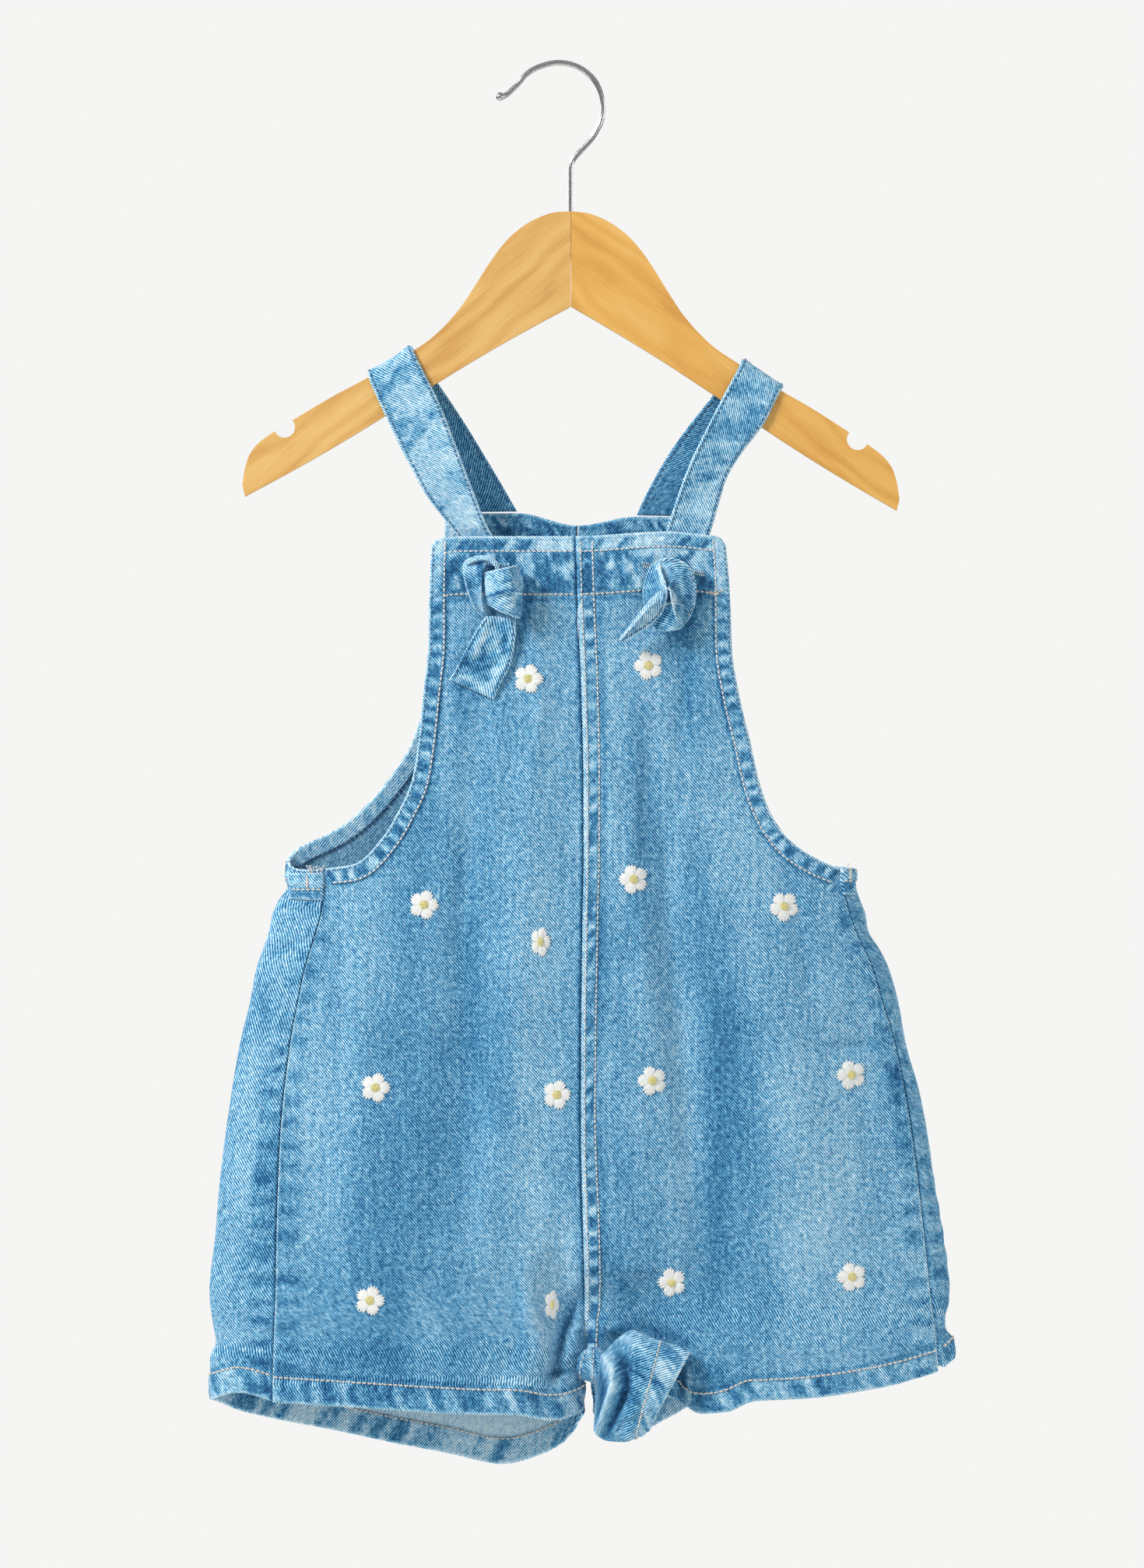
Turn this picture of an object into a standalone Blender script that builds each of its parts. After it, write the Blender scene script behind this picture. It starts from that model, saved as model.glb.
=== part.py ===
"""A small child's denim short dungarees with knotted straps and sewn-on daisies, hung on a
child's wooden hanger.

Lengths in the tables are millimetres. "drop" is measured down from the origin, which is the
underside of the hook's crown; x runs to the viewer's right and y away from the viewer, so the
front of the garment faces -y. Left and right are the viewer's.
"""

import math

import bmesh
import bpy
import numpy as np
from mathutils import Vector
from mathutils.bvhtree import BVHTree

MM = 0.001
SEAM_GAP = 0.36  # between two pieces that are sewn together
REST_GAP = 0.35  # between a piece and what it lies on

# Cloth walls
CLOTH = 1.2  # one layer of denim, with the air that the folds hold
TURNED_EDGE = 2.2  # armhole and leg hems, and the faced top of the bib
FELLED_SEAM = 2.4  # the centre seams, three layers
SEAM_RIDGE_WIDTH = 8.0
ARMHOLE_HEM_WIDTH = 8.3
SIDE_SEAM_WIDTH = 3.5
LEG_HEM_WIDTH = 11.5
EDGE_STEP = 1.0  # the short slope beside a raised hem
BEND_WEIGHT = 22.0  # millimetres of flat cloth that get as many columns as a radian of bend
BIB_FACING_DEPTH = 28.0
STRAP_THICK = 1.7

# Levels, as drops
BIB_TOP = 221.4
UNDERARM = 377.5
UNDERARM_ROW_CENTRE = 500.0  # where the row that starts at the underarm meets the centre
LEG_SPLIT_START = 552.0
CROTCH = 603.0
LEG_APART = 1.7  # from the centre to the middle of each leg's inner fold, at the crotch
LEG_SPREAD = 0.05  # how fast the folds part below it
BACK_CENTRE = 9.0
BLUNTNESS = 0.72  # 1 makes the level sections ellipses, and less makes their ends blunter


class Table:
    """Rows of named columns, read smoothly along the first one without overshooting."""

    def __init__(self, columns, rows):
        self.columns = columns.split()
        self.rows = np.array(rows, float)

    def __call__(self, column, key):
        xs = self.rows[:, 0]
        ys = self.rows[:, self.columns.index(column)]
        key = min(max(key, xs[0]), xs[-1])
        steps = np.diff(xs)
        slopes = np.diff(ys) / steps
        ends = np.concatenate([[slopes[0]], slopes, [slopes[-1]]])
        before, after = ends[:-1], ends[1:]
        total = before + after
        same_way = before * after > 0
        tangents = np.where(same_way, 2 * before * after / np.where(same_way, total, 1), 0)
        i = min(max(int(np.searchsorted(xs, key)) - 1, 0), len(steps) - 1)
        t = (key - xs[i]) / steps[i]
        return float(
            ys[i] * (2 * t**3 - 3 * t**2 + 1)
            + ys[i + 1] * (3 * t**2 - 2 * t**3)
            + tangents[i] * steps[i] * (t**3 - 2 * t**2 + t)
            + tangents[i + 1] * steps[i] * (t**3 - t**2)
        )


# The garment's outline from the front. Above the underarm it is the curve that the bib lies on.
OUTLINE = Table(
    "drop left right",
    [
        (205, -106, 116),
        (300, -112, 122),
        (350, -123, 132),
        (374, -127.8, 139.6),
        (388, -129.4, 140.3),
        (392, -131.6, 141.6),
        (399, -134.8, 144.2),
        (407, -136.4, 145.4),
        (416, -139.6, 151.0),
        (425, -142.6, 155.4),
        (440, -145.4, 159.8),
        (460, -150.1, 163.6),
        (482, -153.7, 169.8),
        (504, -157.0, 173.9),
        (526, -159.9, 177.1),
        (548, -161.8, 180.8),
        (577, -164.4, 184.0),
        (592, -162.6, 181.5),
        (600, -161.2, 185.8),
        (608, -164.0, 186.0),
        (630, -163.8, 184.0),
        (665, -162.0, 182.0),
    ],
)

# Where the side seams and the centre seam run, all on the front
SEAMS = Table(
    "drop left centre right",
    [
        (205, -95.0, 7.4, 120.0),
        (247, -98.0, 8.4, 122.0),
        (291, -102.0, 10.2, 125.0),
        (335, -106.0, 11.3, 128.0),
        (377, -109.8, 11.4, 131.4),
        (394, -110.9, 11.0, 135.4),
        (409, -114.6, 10.8, 140.5),
        (423, -119.0, 10.6, 147.0),
        (438, -122.2, 10.4, 151.5),
        (460, -126.3, 10.2, 158.1),
        (504, -131.0, 10.2, 166.2),
        (548, -132.7, 11.2, 171.7),
        (577, -133.2, 12.1, 174.8),
        (603, -134.0, 13.2, 177.8),
        (630, -134.5, 14.2, 178.6),
        (665, -134.5, 14.4, 178.6),
    ],
)

# How far the front and back stand from the middle of the garment
DEPTH = Table(
    "drop front back",
    [
        (205, 11.3, 9.0),
        (300, 12.2, 9.4),
        (377, 14.0, 11.0),
        (440, 17.0, 13.5),
        (520, 18.5, 15.0),
        (603, 17.0, 15.0),
        (665, 16.0, 15.0),
    ],
)

# Long soft folds: where each starts and ends, its half width, and how far it stands out (+)
FRONT_FOLDS = [
    # x_start, drop_start, x_end, drop_end, half_width, rise
    (-10, 280, -26, 560, 13, 3.2),
    (-42, 380, -44, 560, 11, -2.4),
    (-84, 390, -90, 620, 18, 2.4),
    (-112, 470, -116, 600, 11, -1.6),
    (50, 340, 78, 600, 12, -3.0),
    (98, 390, 118, 610, 20, 2.6),
    (30, 420, 38, 580, 13, 1.8),
    (140, 440, 152, 560, 12, -1.5),
    (2, 540, -3, 606, 8, -3.6),
    (-14, 552, -18, 640, 9, 3.0),
    (37, 566, 42, 690, 19, -8.5),
]
BACK_FOLDS = [
    (-20, 300, -34, 560, 14, 2.6),
    (-70, 380, -82, 600, 18, -2.4),
    (-118, 430, -126, 600, 14, 1.8),
    (36, 290, 52, 560, 14, -2.6),
    (86, 380, 100, 610, 20, 2.6),
    (134, 430, 144, 590, 14, -1.8),
    (10, 540, 12, 620, 10, -3.0),
]

# Armholes from the underarm up to the bib, as x and drop, starting after the side seam. On the
# back, x is unrolled about the side fold, so that its first points lie on the front.
FRONT_ARMHOLE = {
    "left": [
        (-96.3, 375.4),
        (-83.8, 364.2),
        (-75.4, 350.6),
        (-69.0, 336.0),
        (-66.0, 318.0),
        (-63.6, 295.0),
        (-61.3, 273.0),
        (-60.8, 250.0),
        (-59.9, 226.2),
    ],
    "right": [
        (120.0, 372.3),
        (108.3, 364.0),
        (99.6, 351.5),
        (94.0, 336.0),
        (90.0, 318.0),
        (85.2, 298.0),
        (81.4, 275.0),
        (80.5, 250.0),
        (78.6, 226.2),
    ],
}
BACK_ARMHOLE = {
    "left": [
        (-138.0, 378.0),
        (-131.6, 377.4),
        (-127.8, 374.6),
        (-125.4, 370.4),
        (-120.0, 366.6),
        (-110.0, 362.0),
        (-100.7, 356.6),
        (-89.3, 346.6),
        (-80.2, 335.6),
        (-70.0, 320.0),
        (-62.0, 296.0),
        (-57.0, 262.0),
        (-54.2, 228.0),
        (-53.6, 213.0),
    ],
    "right": [
        (139.6, 377.2),
        (129.0, 376.4),
        (119.0, 373.0),
        (107.0, 366.0),
        (98.0, 353.0),
        (92.0, 337.0),
        (87.6, 317.0),
        (82.4, 296.0),
        (78.0, 272.0),
        (74.4, 244.0),
        (71.4, 226.0),
        (70.6, 214.5),
    ],
}

# Top edges and hems, as x and drop
FRONT_TOP = Table(
    "x drop",
    [
        (-59.9, 226.2),
        (-57.6, 223.4),
        (-53.0, 222.2),
        (-46.8, 221.4),
        (8.0, 221.4),
        (50.5, 219.2),
        (71.7, 221.1),
        (76.2, 222.4),
        (78.6, 226.2),
    ],
)
BACK_TOP = Table(
    "x drop",
    [
        (-53.6, 212.0),
        (-46.0, 210.4),
        (-19.0, 210.4),
        (9.0, 216.2),
        (36.0, 212.0),
        (62.0, 212.6),
        (70.6, 214.5),
    ],
)
FRONT_HEM = {
    "left": Table(
        "x drop",
        [
            (-136.0, 628.0),
            (-96.0, 631.0),
            (-58.0, 634.6),
            (-36.0, 636.8),
            (-21.0, 634.6),
            (-3.0, 637.2),
            (8.0, 634.0),
            (14.0, 628.0),
        ],
    ),
    "right": Table(
        "x drop",
        [
            (14.0, 616.0),
            (26.0, 617.0),
            (56.0, 627.4),
            (67.0, 633.4),
            (79.0, 632.4),
            (92.0, 627.4),
            (116.0, 626.2),
            (152.0, 621.0),
            (180.0, 613.4),
        ],
    ),
}
BACK_HEM = {
    "left": Table(
        "x drop",
        [
            (-194.0, 628.0),
            (-176.0, 623.6),
            (-163.8, 627.0),
            (-150.8, 632.4),
            (-131.0, 637.2),
            (-104.7, 642.3),
            (-78.3, 648.0),
            (-52.0, 653.0),
            (-26.0, 658.0),
            (-10.0, 654.0),
            (4.0, 646.0),
            (14.0, 628.0),
        ],
    ),
    "right": Table(
        "x drop",
        [
            (14.0, 628.0),
            (22.0, 640.0),
            (36.0, 643.0),
            (52.0, 636.0),
            (70.0, 627.0),
            (92.0, 624.0),
            (130.0, 620.0),
            (165.0, 614.6),
            (184.0, 608.0),
            (191.0, 613.0),
        ],
    ),
}

SIGN = {"left": -1, "right": 1}


def fold_height(folds, x, drop):
    """How far the long folds lift the cloth at a place."""
    height = 0.0
    for x_start, drop_start, x_end, drop_end, half_width, rise in folds:
        run, fall = x_end - x_start, drop_end - drop_start
        length = math.hypot(run, fall)
        along = ((x - x_start) * run + (drop - drop_start) * fall) / length**2
        if 0 < along < 1:
            beside = ((x - x_start) * fall - (drop - drop_start) * run) / length
            fade = math.sin(math.pi * along) ** 0.7
            height += rise * fade * math.exp(-((beside / half_width) ** 2))
    return height


def blunt(value):
    return math.copysign(abs(value) ** BLUNTNESS, value)


def fold_x(side, drop):
    """Where the middle of the wall turns over at the side."""
    return OUTLINE(side, drop) - SIGN[side] * CLOTH / 2


def cloth_point(side, around, drop):
    """Middle of the cloth wall. around is 0 at the centre front, 1 at the side fold and 2 at
    the centre back; below the crotch 0 and 2 meet at the leg's inseam."""
    front = around < 1
    edge = fold_x(side, drop)
    depth = DEPTH("front" if front else "back", drop)
    split = min(max((drop - LEG_SPLIT_START) / (CROTCH - LEG_SPLIT_START), 0), 1)
    legs = split**2 * (3 - 2 * split)
    centre = SEAMS("centre", drop) if front else BACK_CENTRE
    centre += (SEAMS("centre", drop) - centre) * legs
    below_crotch = max(drop - CROTCH, 0)
    inner = centre + SIGN[side] * (LEG_APART * legs**3 + LEG_SPREAD * below_crotch)
    turn = math.pi * around
    across = (1 - legs) * math.sin(turn / 2) + legs * (1 - math.cos(turn)) / 2
    out = (1 - legs) * blunt(math.cos(turn / 2)) + legs * blunt(math.sin(turn))
    x = inner + (edge - inner) * across
    lift = fold_height(FRONT_FOLDS if front else BACK_FOLDS, x, drop)
    ease = min(abs(out) * 1.6, 1)
    y = -depth * out + (-1 if front else 1) * lift * ease
    return np.array([x, y, -drop])


def cloth_normal(side, around, drop):
    """Outward direction of the cloth wall."""
    step, rise = 0.01, 1.5
    along = cloth_point(side, around + step, drop) - cloth_point(side, around - step, drop)
    up = cloth_point(side, around, drop - rise) - cloth_point(side, around, drop + rise)
    normal = np.cross(along, up) * SIGN[side]
    return normal / np.linalg.norm(normal)


def around_step(side, around, drop, distance):
    """How much "around" changes over a distance along the wall, in millimetres."""
    step = 0.004
    run = cloth_point(side, around + step, drop) - cloth_point(side, around - step, drop)
    return distance * 2 * step / np.linalg.norm(run)


def around_at(side, x, drop, back=False):
    """The value of "around" where the front, or the back, has this x. On the back, x may be
    unrolled past the side fold, and the place is then on the front."""
    edge = fold_x(side, drop)
    if back and SIGN[side] * (x - edge) > 0:
        x, back = 2 * edge - x, False
    low, high = (1.0, 2.0) if back else (0.0, 1.0)
    for _ in range(26):
        middle = (low + high) / 2
        outside = SIGN[side] * (cloth_point(side, middle, drop)[0] - x) > 0
        if outside == back:
            low = middle
        else:
            high = middle
    return (low + high) / 2


def along_curve(points, share):
    """Point and tangent at a share of the length of a smooth curve through the points."""
    points = np.array(points, float)
    lengths = np.concatenate([[0], np.cumsum(np.linalg.norm(np.diff(points, axis=0), axis=1))])
    curve = Table("s x drop", np.column_stack([lengths / lengths[-1], points]))

    def at(s):
        return np.array([curve("x", s), curve("drop", s)])

    tangent = at(min(share + 0.01, 1)) - at(max(share - 0.01, 0))
    return at(share), tangent / np.linalg.norm(tangent)


# Building solids


def material(name, colour, roughness, metallic=0.0):
    made = bpy.data.materials.new(name)
    made.use_nodes = True
    shader = made.node_tree.nodes["Principled BSDF"]
    shader.inputs["Base Color"].default_value = (*colour, 1)
    shader.inputs["Roughness"].default_value = roughness
    shader.inputs["Metallic"].default_value = metallic
    return made


def add_object(name, points, faces, finish, smooth=False):
    """A mesh object from points in millimetres, its faces turned outwards."""
    shape = bmesh.new()
    corners = [shape.verts.new(Vector(p) * MM) for p in points]
    for face in faces:
        shape.faces.new([corners[i] for i in face])
    bmesh.ops.recalc_face_normals(shape, faces=shape.faces)
    mesh = bpy.data.meshes.new(name)
    shape.to_mesh(mesh)
    shape.free()
    mesh.materials.append(finish)
    if smooth:
        mesh.shade_smooth()
    made = bpy.data.objects.new(name, mesh)
    bpy.context.scene.collection.objects.link(made)
    return made


def grid_faces(rows, columns, start, flip=False):
    faces = []
    for j in range(rows - 1):
        for i in range(columns - 1):
            a = start + j * columns + i
            face = (a, a + 1, a + columns + 1, a + columns)
            faces.append(face[::-1] if flip else face)
    return faces


def add_wall(name, middle, normals, thick, finish):
    """A closed wall on a grid of middle points, thick[row, column] millimetres through."""
    rows, columns = middle.shape[:2]
    half = normals * thick[..., None] / 2
    points = np.concatenate([(middle + half).reshape(-1, 3), (middle - half).reshape(-1, 3)])
    other = rows * columns
    rim = [i for i in range(columns)]
    rim += [j * columns + columns - 1 for j in range(1, rows)]
    rim += [(rows - 1) * columns + i for i in range(columns - 2, -1, -1)]
    rim += [j * columns for j in range(rows - 2, 0, -1)]
    faces = grid_faces(rows, columns, 0) + grid_faces(rows, columns, other, True)
    for a, b in zip(rim, rim[1:] + rim[:1]):
        faces.append((b, a, a + other, b + other))
    return add_object(name, points, faces, finish, smooth=True)


def grid_normals(middle):
    """Normals of a grid of points, from its neighbours."""
    across = np.gradient(middle, axis=1)
    along = np.gradient(middle, axis=0)
    normals = np.cross(across, along)
    return normals / np.linalg.norm(normals, axis=2)[..., None]


def add_tube(name, path, radii, sides, finish):
    """A round bar along a path in the x-z plane, with its ends filled."""
    path = np.array(path, float)
    tangents = np.gradient(path, axis=0)
    tangents /= np.linalg.norm(tangents, axis=1)[:, None]
    across = np.cross(tangents, [0, 1, 0])
    points = []
    for centre, side, radius in zip(path, across, radii):
        for k in range(sides):
            turn = 2 * math.pi * k / sides
            points.append(
                centre + radius * (math.cos(turn) * side + math.sin(turn) * np.array([0, 1, 0]))
            )
    faces = []
    for j in range(len(path) - 1):
        for k in range(sides):
            a, b = j * sides + k, j * sides + (k + 1) % sides
            faces.append((a, b, b + sides, a + sides))
    faces.append(tuple(range(sides))[::-1])
    faces.append(tuple((len(path) - 1) * sides + k for k in range(sides)))
    return add_object(name, points, faces, finish, smooth=True)


def add_pillow(name, centre, half, tilt, squareness, rings, sides, finish):
    """A rounded block, as a knot or a roll of cloth has: half is its half width, depth and
    height, tilt turns it in the picture and squareness is 1 for an ellipsoid."""
    power = 1 / squareness

    def bulge(value):
        return math.copysign(abs(value) ** power, value)

    points = [(0, 0, 1)]
    for j in range(1, rings):
        latitude = math.pi * j / rings
        for k in range(sides):
            longitude = 2 * math.pi * k / sides
            girth = bulge(math.sin(latitude))
            points.append(
                (
                    girth * bulge(math.cos(longitude)),
                    girth * bulge(math.sin(longitude)),
                    bulge(math.cos(latitude)),
                )
            )
    points.append((0, 0, -1))
    cos, sin = math.cos(math.radians(tilt)), math.sin(math.radians(tilt))
    placed = []
    for u, v, w in points:
        x, y, z = u * half[0], v * half[1], w * half[2]
        placed.append((centre[0] + x * cos + z * sin, centre[1] + y, -centre[2] - x * sin + z * cos))
    last = len(placed) - 1
    faces = [(0, 1 + k, 1 + (k + 1) % sides) for k in range(sides)]
    for j in range(rings - 2):
        for k in range(sides):
            a, b = 1 + j * sides + k, 1 + j * sides + (k + 1) % sides
            faces.append((a, a + sides, b + sides, b))
    first = 1 + (rings - 2) * sides
    faces += [(first + k, last, first + (k + 1) % sides) for k in range(sides)]
    return add_object(name, placed, faces, finish, smooth=True)


def add_roll(name, sections, sides, finish):
    """A closed roll of cloth with level rounded sections, from the top down."""
    points = []
    for drop, left, right, front, back in sections:
        for k in range(sides):
            turn = 2 * math.pi * k / sides
            across = math.copysign(abs(math.cos(turn)) ** 0.7, math.cos(turn))
            out = math.copysign(abs(math.sin(turn)) ** 0.85, math.sin(turn))
            x = (left + right) / 2 + (right - left) / 2 * across
            y = (front + back) / 2 + (back - front) / 2 * out
            points.append((x, y, -drop))
    faces = []
    for j in range(len(sections) - 1):
        for k in range(sides):
            a, b = j * sides + k, j * sides + (k + 1) % sides
            faces.append((a, b, b + sides, a + sides))
    faces.append(tuple(range(sides))[::-1])
    faces.append(tuple((len(sections) - 1) * sides + k for k in range(sides)))
    return add_object(name, points, faces, finish, smooth=True)


# The four panels

SEAM_ROWS = 13
ARMHOLE_ROWS = 15
FRONT_COLUMNS = 11
BACK_COLUMNS = 14


def hem_drop(side, back, x):
    return (BACK_HEM if back else FRONT_HEM)[side]("drop", x)


def row_edges(side, back):
    """The rows of a panel from its hem up. Each has its kind, its share of the way up, and its
    outer point and the inner line of its outer hem or seam, as (around, drop)."""
    outward = 1 if back else -1
    underarm = SEAMS(side, UNDERARM)
    if back:
        underarm = 2 * fold_x(side, UNDERARM) - underarm
    armhole = [(underarm, UNDERARM)] + (BACK_ARMHOLE if back else FRONT_ARMHOLE)[side]
    rows = []

    def add_seam_row(kind, share, drop):
        seam = around_at(side, SEAMS(side, drop), drop)
        edge = seam + outward * around_step(side, seam, drop, SEAM_GAP / 2)
        hem = seam + outward * around_step(side, seam, drop, SIDE_SEAM_WIDTH)
        rows.append((kind, share, (edge, drop), (hem, drop)))

    seam_bottom = SEAMS(side, 628.0)
    if back:
        seam_bottom = 2 * fold_x(side, 628.0) - seam_bottom
    bottom = hem_drop(side, back, seam_bottom)
    for rise in (0, LEG_HEM_WIDTH / 2, LEG_HEM_WIDTH):
        add_seam_row("hem", rise, bottom - rise)
    lowest = bottom - LEG_HEM_WIDTH - EDGE_STEP
    for j in range(SEAM_ROWS):
        share = (j / SEAM_ROWS) ** 1.1
        add_seam_row("seam", share, lowest + (UNDERARM - lowest) * share)
    for j in range(ARMHOLE_ROWS + 1):
        share = j / ARMHOLE_ROWS
        along = share**1.45
        point, tangent = along_curve(armhole, along)
        inward = np.array([-tangent[1], tangent[0]]) * -SIGN[side]
        start = np.array([-0.45 * SIGN[side], 0.89])
        inward += (start - inward) * max(1 - along / 0.08, 0)
        inward /= np.linalg.norm(inward)
        hem_point = point + inward * ARMHOLE_HEM_WIDTH
        edge = around_at(side, point[0], point[1], back)
        if share == 0:
            edge += outward * around_step(side, edge, point[1], SEAM_GAP / 2)
        hem = around_at(side, hem_point[0], hem_point[1], back)
        rows.append(("armhole", share, (edge, point[1]), (hem, hem_point[1])))
    return rows


def unrolled_x(side, around, drop, back):
    """x, unrolled about the side fold on the back panels."""
    x = cloth_point(side, around, drop)[0]
    if back and around < 1:
        x = 2 * fold_x(side, drop) - x
    return x


def make_panel(name, side, back, ridge, finish):
    """One panel from its centre seam and inseam out to its side seam and armhole. ridge is
    true on the half that carries the felled centre seam."""
    centre_around = 2.0 if back else 0.0
    columns = BACK_COLUMNS if back else FRONT_COLUMNS
    top_curve = BACK_TOP if back else FRONT_TOP
    centre_top = top_curve("drop", BACK_CENTRE if back else SEAMS("centre", BIB_TOP))
    rows = row_edges(side, back)
    underarm_hem = next(row for row in rows if row[0] == "armhole")[3]
    underarm_hem = (underarm_hem[0], underarm_hem[1] + EDGE_STEP)

    def row_drop(kind, share, hem, around, guess):
        """How far down the row is at a place."""
        out = (around - centre_around) / (hem[0] - centre_around)
        if kind == "armhole":
            centre = UNDERARM_ROW_CENTRE + (centre_top - UNDERARM_ROW_CENTRE) * share
            return centre + (hem[1] - centre) * out
        x = unrolled_x(side, around, guess, back)
        if kind == "hem":
            return hem_drop(side, back, x) - share
        lower = hem_drop(side, back, x) - LEG_HEM_WIDTH - EDGE_STEP
        upper = UNDERARM_ROW_CENTRE + (underarm_hem[1] - UNDERARM_ROW_CENTRE) * out
        return lower + (upper - lower) * share

    grid, kinds = [], []
    for kind, share, edge, hem in rows:
        outs = np.linspace(0, 1, 61) ** 2
        samples = centre_around + (hem[0] - centre_around) * outs
        drops = []
        guess = edge[1]
        for around in samples[::-1]:
            for _ in range(2):
                guess = row_drop(kind, share, hem, around, guess)
            drops.insert(0, guess)
        line = np.array([cloth_point(side, a, d) for a, d in zip(samples, drops)])
        steps = np.diff(line, axis=0)
        runs = np.linalg.norm(steps, axis=1)
        lengths = np.concatenate([[0], np.cumsum(runs)])
        cosines = np.sum(steps[1:] * steps[:-1], axis=1) / (runs[1:] * runs[:-1])
        bends = np.concatenate([[0], np.arccos(np.clip(cosines, -1, 1))])
        weights = np.concatenate([[0], np.cumsum(runs + BEND_WEIGHT * bends)])
        stops = [SEAM_GAP / 2]
        if ridge:
            stops += [SEAM_RIDGE_WIDTH, SEAM_RIDGE_WIDTH + EDGE_STEP]
        ends = np.interp([stops[-1], lengths[-1] - EDGE_STEP], lengths, weights)
        between = np.linspace(ends[0], ends[1], columns + 1)[1:]
        chosen = list(np.interp(stops, lengths, outs)) + list(np.interp(between, weights, outs))
        places = [(np.interp(out, outs, samples), np.interp(out, outs, drops)) for out in chosen]
        kinds.append(kind)
        grid.append(places + [tuple(hem), tuple(edge)])
    grid[-1] = [(a, top_curve("drop", cloth_point(side, a, d)[0])) for a, d in grid[-1]]

    shape = (len(grid), len(grid[0]))
    middle = np.zeros((*shape, 3))
    normals = np.zeros((*shape, 3))
    thick = np.full(shape, CLOTH)
    for j, places in enumerate(grid):
        for i, (a, drop) in enumerate(places):
            middle[j, i] = cloth_point(side, a, drop)
            normals[j, i] = cloth_normal(side, a, drop)
            top = top_curve("drop", middle[j, i][0])
            on_bib = kinds[j] == "armhole" and drop < top + BIB_FACING_DEPTH
            on_armhole_hem = kinds[j] == "armhole" and i >= shape[1] - 2
            if kinds[j] == "hem" or on_bib or on_armhole_hem:
                thick[j, i] = TURNED_EDGE
            if ridge and i < 2:
                thick[j, i] = FELLED_SEAM
    return add_wall(name, middle, normals, thick, finish)


# Straps, knots and tails. A station is the strap's two edges: x, drop and y of the viewer's
# left one, then of the right one.

STRAP_STATIONS = {
    "left": [
        (-47.4, 210.0, 8.6, -19.6, 209.6, 8.6),
        (-53.0, 201.5, 8.4, -28.6, 194.0, 8.6),
        (-66.0, 180.5, 8.2, -44.0, 168.5, 8.4),
        (-77.5, 162.6, 7.9, -56.6, 149.6, 7.9),
        (-88.0, 148.6, 7.3, -67.2, 135.6, 7.3),
        (-89.4, 145.9, 6.2, -68.4, 133.2, 6.2),
        (-89.9, 145.0, 3.2, -68.9, 132.3, 3.2),
        (-89.9, 145.0, -3.2, -68.9, 132.3, -3.2),
        (-89.4, 145.9, -6.2, -68.4, 133.2, -6.2),
        (-88.4, 149.6, -7.3, -67.2, 136.8, -7.3),
        (-79.8, 168.4, -7.7, -56.6, 157.7, -7.9),
        (-71.5, 185.5, -7.6, -48.8, 177.4, -8.6),
        (-61.5, 203.5, -6.2, -40.6, 199.0, -8.6),
        (-48.6, 220.0, -4.4, -32.6, 218.6, -7.6),
        (-43.6, 228.4, -6.2, -24.6, 228.0, -6.8),
        (-43.0, 232.6, -7.6, -23.4, 232.6, -7.6),
        (-43.0, 234.2, -9.4, -23.0, 234.2, -9.4),
        (-43.0, 234.6, -11.4, -23.0, 234.6, -11.4),
        (-43.0, 234.7, -13.4, -23.0, 234.7, -13.4),
    ],
    "right": [
        (36.6, 211.4, 8.6, 62.6, 212.0, 8.6),
        (41.6, 200.6, 8.5, 68.0, 202.0, 8.3),
        (53.4, 180.0, 8.4, 76.0, 192.0, 8.2),
        (71.4, 156.4, 7.9, 92.6, 168.6, 7.9),
        (84.4, 141.6, 7.3, 103.6, 154.6, 7.3),
        (85.6, 139.2, 6.2, 105.0, 152.2, 6.2),
        (86.0, 138.4, 3.2, 105.6, 151.4, 3.2),
        (86.0, 138.4, -3.2, 105.6, 151.4, -3.2),
        (85.6, 139.2, -6.2, 105.0, 152.2, -6.2),
        (84.2, 142.8, -7.3, 103.0, 155.4, -7.3),
        (76.5, 157.0, -7.9, 96.2, 169.0, -7.7),
        (68.4, 173.0, -8.6, 86.0, 182.4, -6.2),
        (61.1, 188.4, -9.0, 79.0, 194.0, -5.4),
        (55.0, 205.0, -8.6, 74.6, 208.6, -5.8),
        (49.8, 220.6, -7.4, 70.6, 221.6, -6.4),
        (44.8, 231.0, -6.8, 65.6, 232.4, -6.6),
        (44.4, 235.2, -7.6, 64.4, 236.7, -7.6),
        (44.4, 236.6, -9.4, 64.2, 238.1, -9.4),
        (44.4, 237.0, -11.4, 64.2, 238.5, -11.4),
        (44.4, 237.1, -13.4, 64.2, 238.6, -13.4),
    ],
}
TAIL_STATIONS = {
    "left": [
        (-34.0, 258.9, -15.2, -20.4, 260.0, -15.6),
        (-39.6, 267.0, -14.4, -20.2, 268.6, -15.0),
        (-46.0, 279.0, -13.7, -22.6, 282.0, -14.2),
        (-49.8, 286.0, -13.3, -27.4, 291.0, -13.8),
        (-51.6, 288.8, -13.3, -30.4, 298.3, -13.7),
    ],
    "right": [
        (40.3, 252.6, -22.4, 44.4, 265.6, -20.0),
        (36.0, 257.0, -22.2, 40.0, 267.4, -19.6),
        (31.8, 263.6, -21.4, 34.6, 269.2, -19.2),
        (27.8, 269.4, -20.4, 29.4, 271.6, -18.6),
    ],
}
LOOP_STATIONS = [
    (-44.2, 233.6, -14.6, -29.4, 231.6, -15.6),
    (-45.0, 236.6, -17.0, -33.2, 233.6, -18.6),
    (-44.4, 242.0, -18.4, -35.6, 239.0, -20.2),
    (-42.6, 249.0, -17.6, -36.2, 248.0, -19.0),
    (-39.0, 257.0, -15.6, -35.0, 257.4, -16.6),
]
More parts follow.
